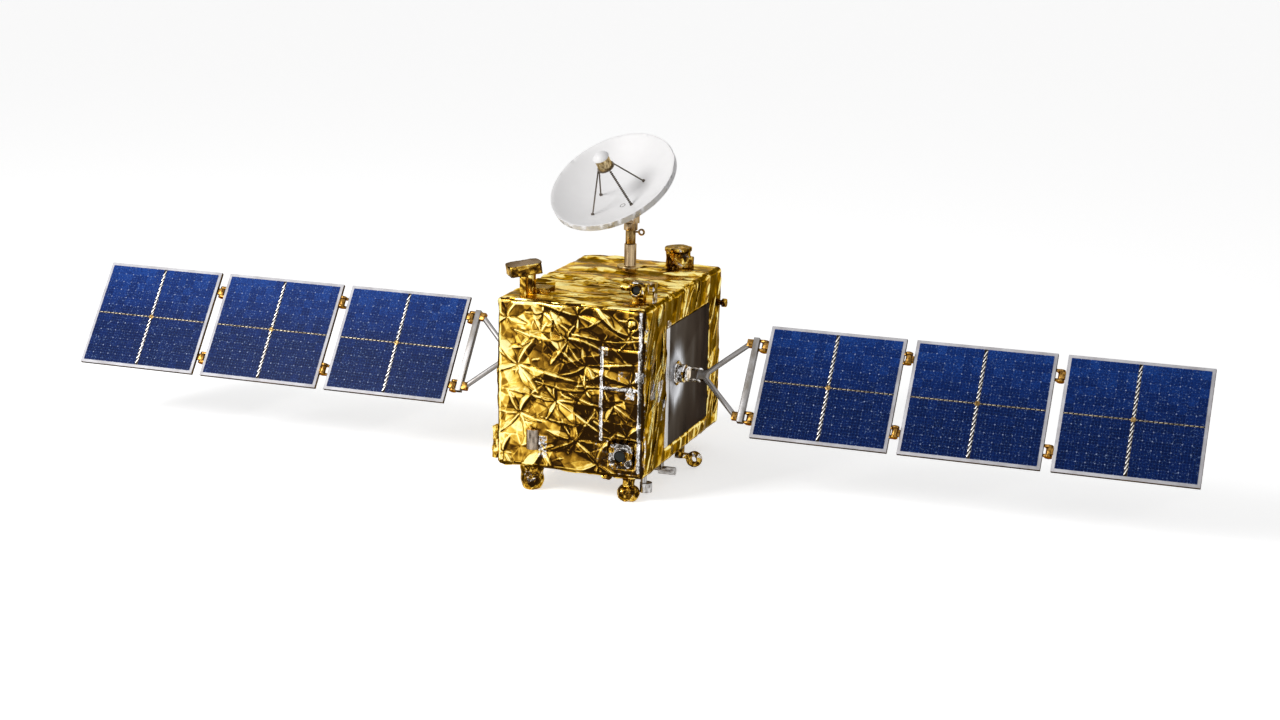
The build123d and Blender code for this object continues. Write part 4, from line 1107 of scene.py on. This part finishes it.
# --- cables on the panel backs -----------------------------------------------
# Flat cables in amber film lie on the back of each panel, two branches across one run,
# held down by small clips.
cable_sunk = 0.0004
back_low = span("panel_1_right", wing_out)[0] - wing_root.dot(wing_out)
run_length = 0.94 * span("panel_1_right", (1, 0, 0))[2]
branch_length = 0.80 * span("panel_1_right", wing_up)[2]
cable_run = round_bar(run_length, 0.030, 0.0016, 0.0005)
branch = round_bar(0.018, branch_length, 0.0012, 0.0004)
clip = round_bar(0.012, 0.044, 0.0034, 0.001)
for piece, count, gap in ((branch, 2, 0.31), (clip, 5, 0.13)):
    piece.data.transform(Matrix.Translation((-gap * (count - 1) / 2, 0, 0)))
    repeat(piece, (count, (gap, 0, 0)))
join(cable_run, branch, clip)
cable_sheet = take_sheet(cable_run, back_low - cells_top - cable_sunk)
cable_film = metal_finish("cable_film", (0.42, 0.20, 0.04), (0.24, 0.10, 0.02), 0.35, 0.5, 200.0, 30.0)
fit_on_panels("back_cables", cable_sheet, "wing_panel", cable_film)

# --- studio -----------------------------------------------------------------
# A pale floor under the craft, an even pale surround and two soft lamps. The surround
# lights the craft with a third of the brightness that it shows.


def seen_plainly(tree):
    """1 where the camera, a reflection or glass shows the surroundings, otherwise 0."""
    path = add_node(tree, "ShaderNodeLightPath")
    seen = add_math(tree, "MAXIMUM", path.outputs["Is Camera Ray"], path.outputs["Is Glossy Ray"])
    return add_math(tree, "MAXIMUM", seen, path.outputs["Is Transmission Ray"])


floor_size = 400
bpy.ops.mesh.primitive_plane_add(size=floor_size, location=(0, 0, floor_z))
floor = bpy.context.object
floor.name = "floor"
floor_finish, tree, shader, place = new_finish("studio_floor", 0.0, 0.9)
shader.inputs["Base Color"].default_value = (0.86, 0.86, 0.86, 1)
glow = add_math(tree, "MULTIPLY", seen_plainly(tree), 0.60)
shader.inputs["Emission Color"].default_value = (1, 1, 1, 1)
tree.links.new(glow, shader.inputs["Emission Strength"])
floor.data.materials.append(floor_finish)

world = bpy.data.worlds.new("studio")
bpy.context.scene.world = world
world.use_nodes = True
tree = world.node_tree
background = tree.nodes["Background"]
background.inputs["Color"].default_value = (1, 1, 1, 1)
strength = add_step(tree, seen_plainly(tree), 0.0, 1.0, 0.34, 1.0)
tree.links.new(strength, background.inputs["Strength"])

# name, place, size, power
lamps = [("key_lamp", (-6.5, -7.5, 7.0), 5.0, 960), ("fill_lamp", (8.0, -8.0, 5.0), 6.0, 60)]
for name, lamp_at, size, power in lamps:
    bpy.ops.object.light_add(type="AREA", location=lamp_at)
    lamp = bpy.context.object
    lamp.name = name
    lamp.data.size = size
    lamp.data.energy = power
    lamp.rotation_euler = (body_centre - Vector(lamp_at)).to_track_quat("-Z", "Y").to_euler()

# --- camera -----------------------------------------------------------------
# It looks at the craft from the front right and a little above, through a long lens, and
# is rolled by about a degree.
camera_azimuth = radians(19.43)
camera_elevation = radians(13.75)
camera_roll = radians(1.13)
camera_distance = 14.936
aim_right = 0.1855
aim_up = 0.0133
turn = (Matrix.Rotation(camera_azimuth, 4, "Z") @ Matrix.Rotation(pi / 2 - camera_elevation, 4, "X")
        @ Matrix.Rotation(camera_roll, 4, "Z"))
bpy.ops.object.camera_add()
camera = bpy.context.object
camera.data.lens = 62.68
camera.data.sensor_width = 36.0
camera.data.clip_end = 1000.0
camera.matrix_world = (Matrix.Translation(body_centre) @ turn
                       @ Matrix.Translation((aim_right, aim_up, camera_distance)))
bpy.context.scene.camera = camera
bpy.context.scene.view_settings.view_transform = "Standard"
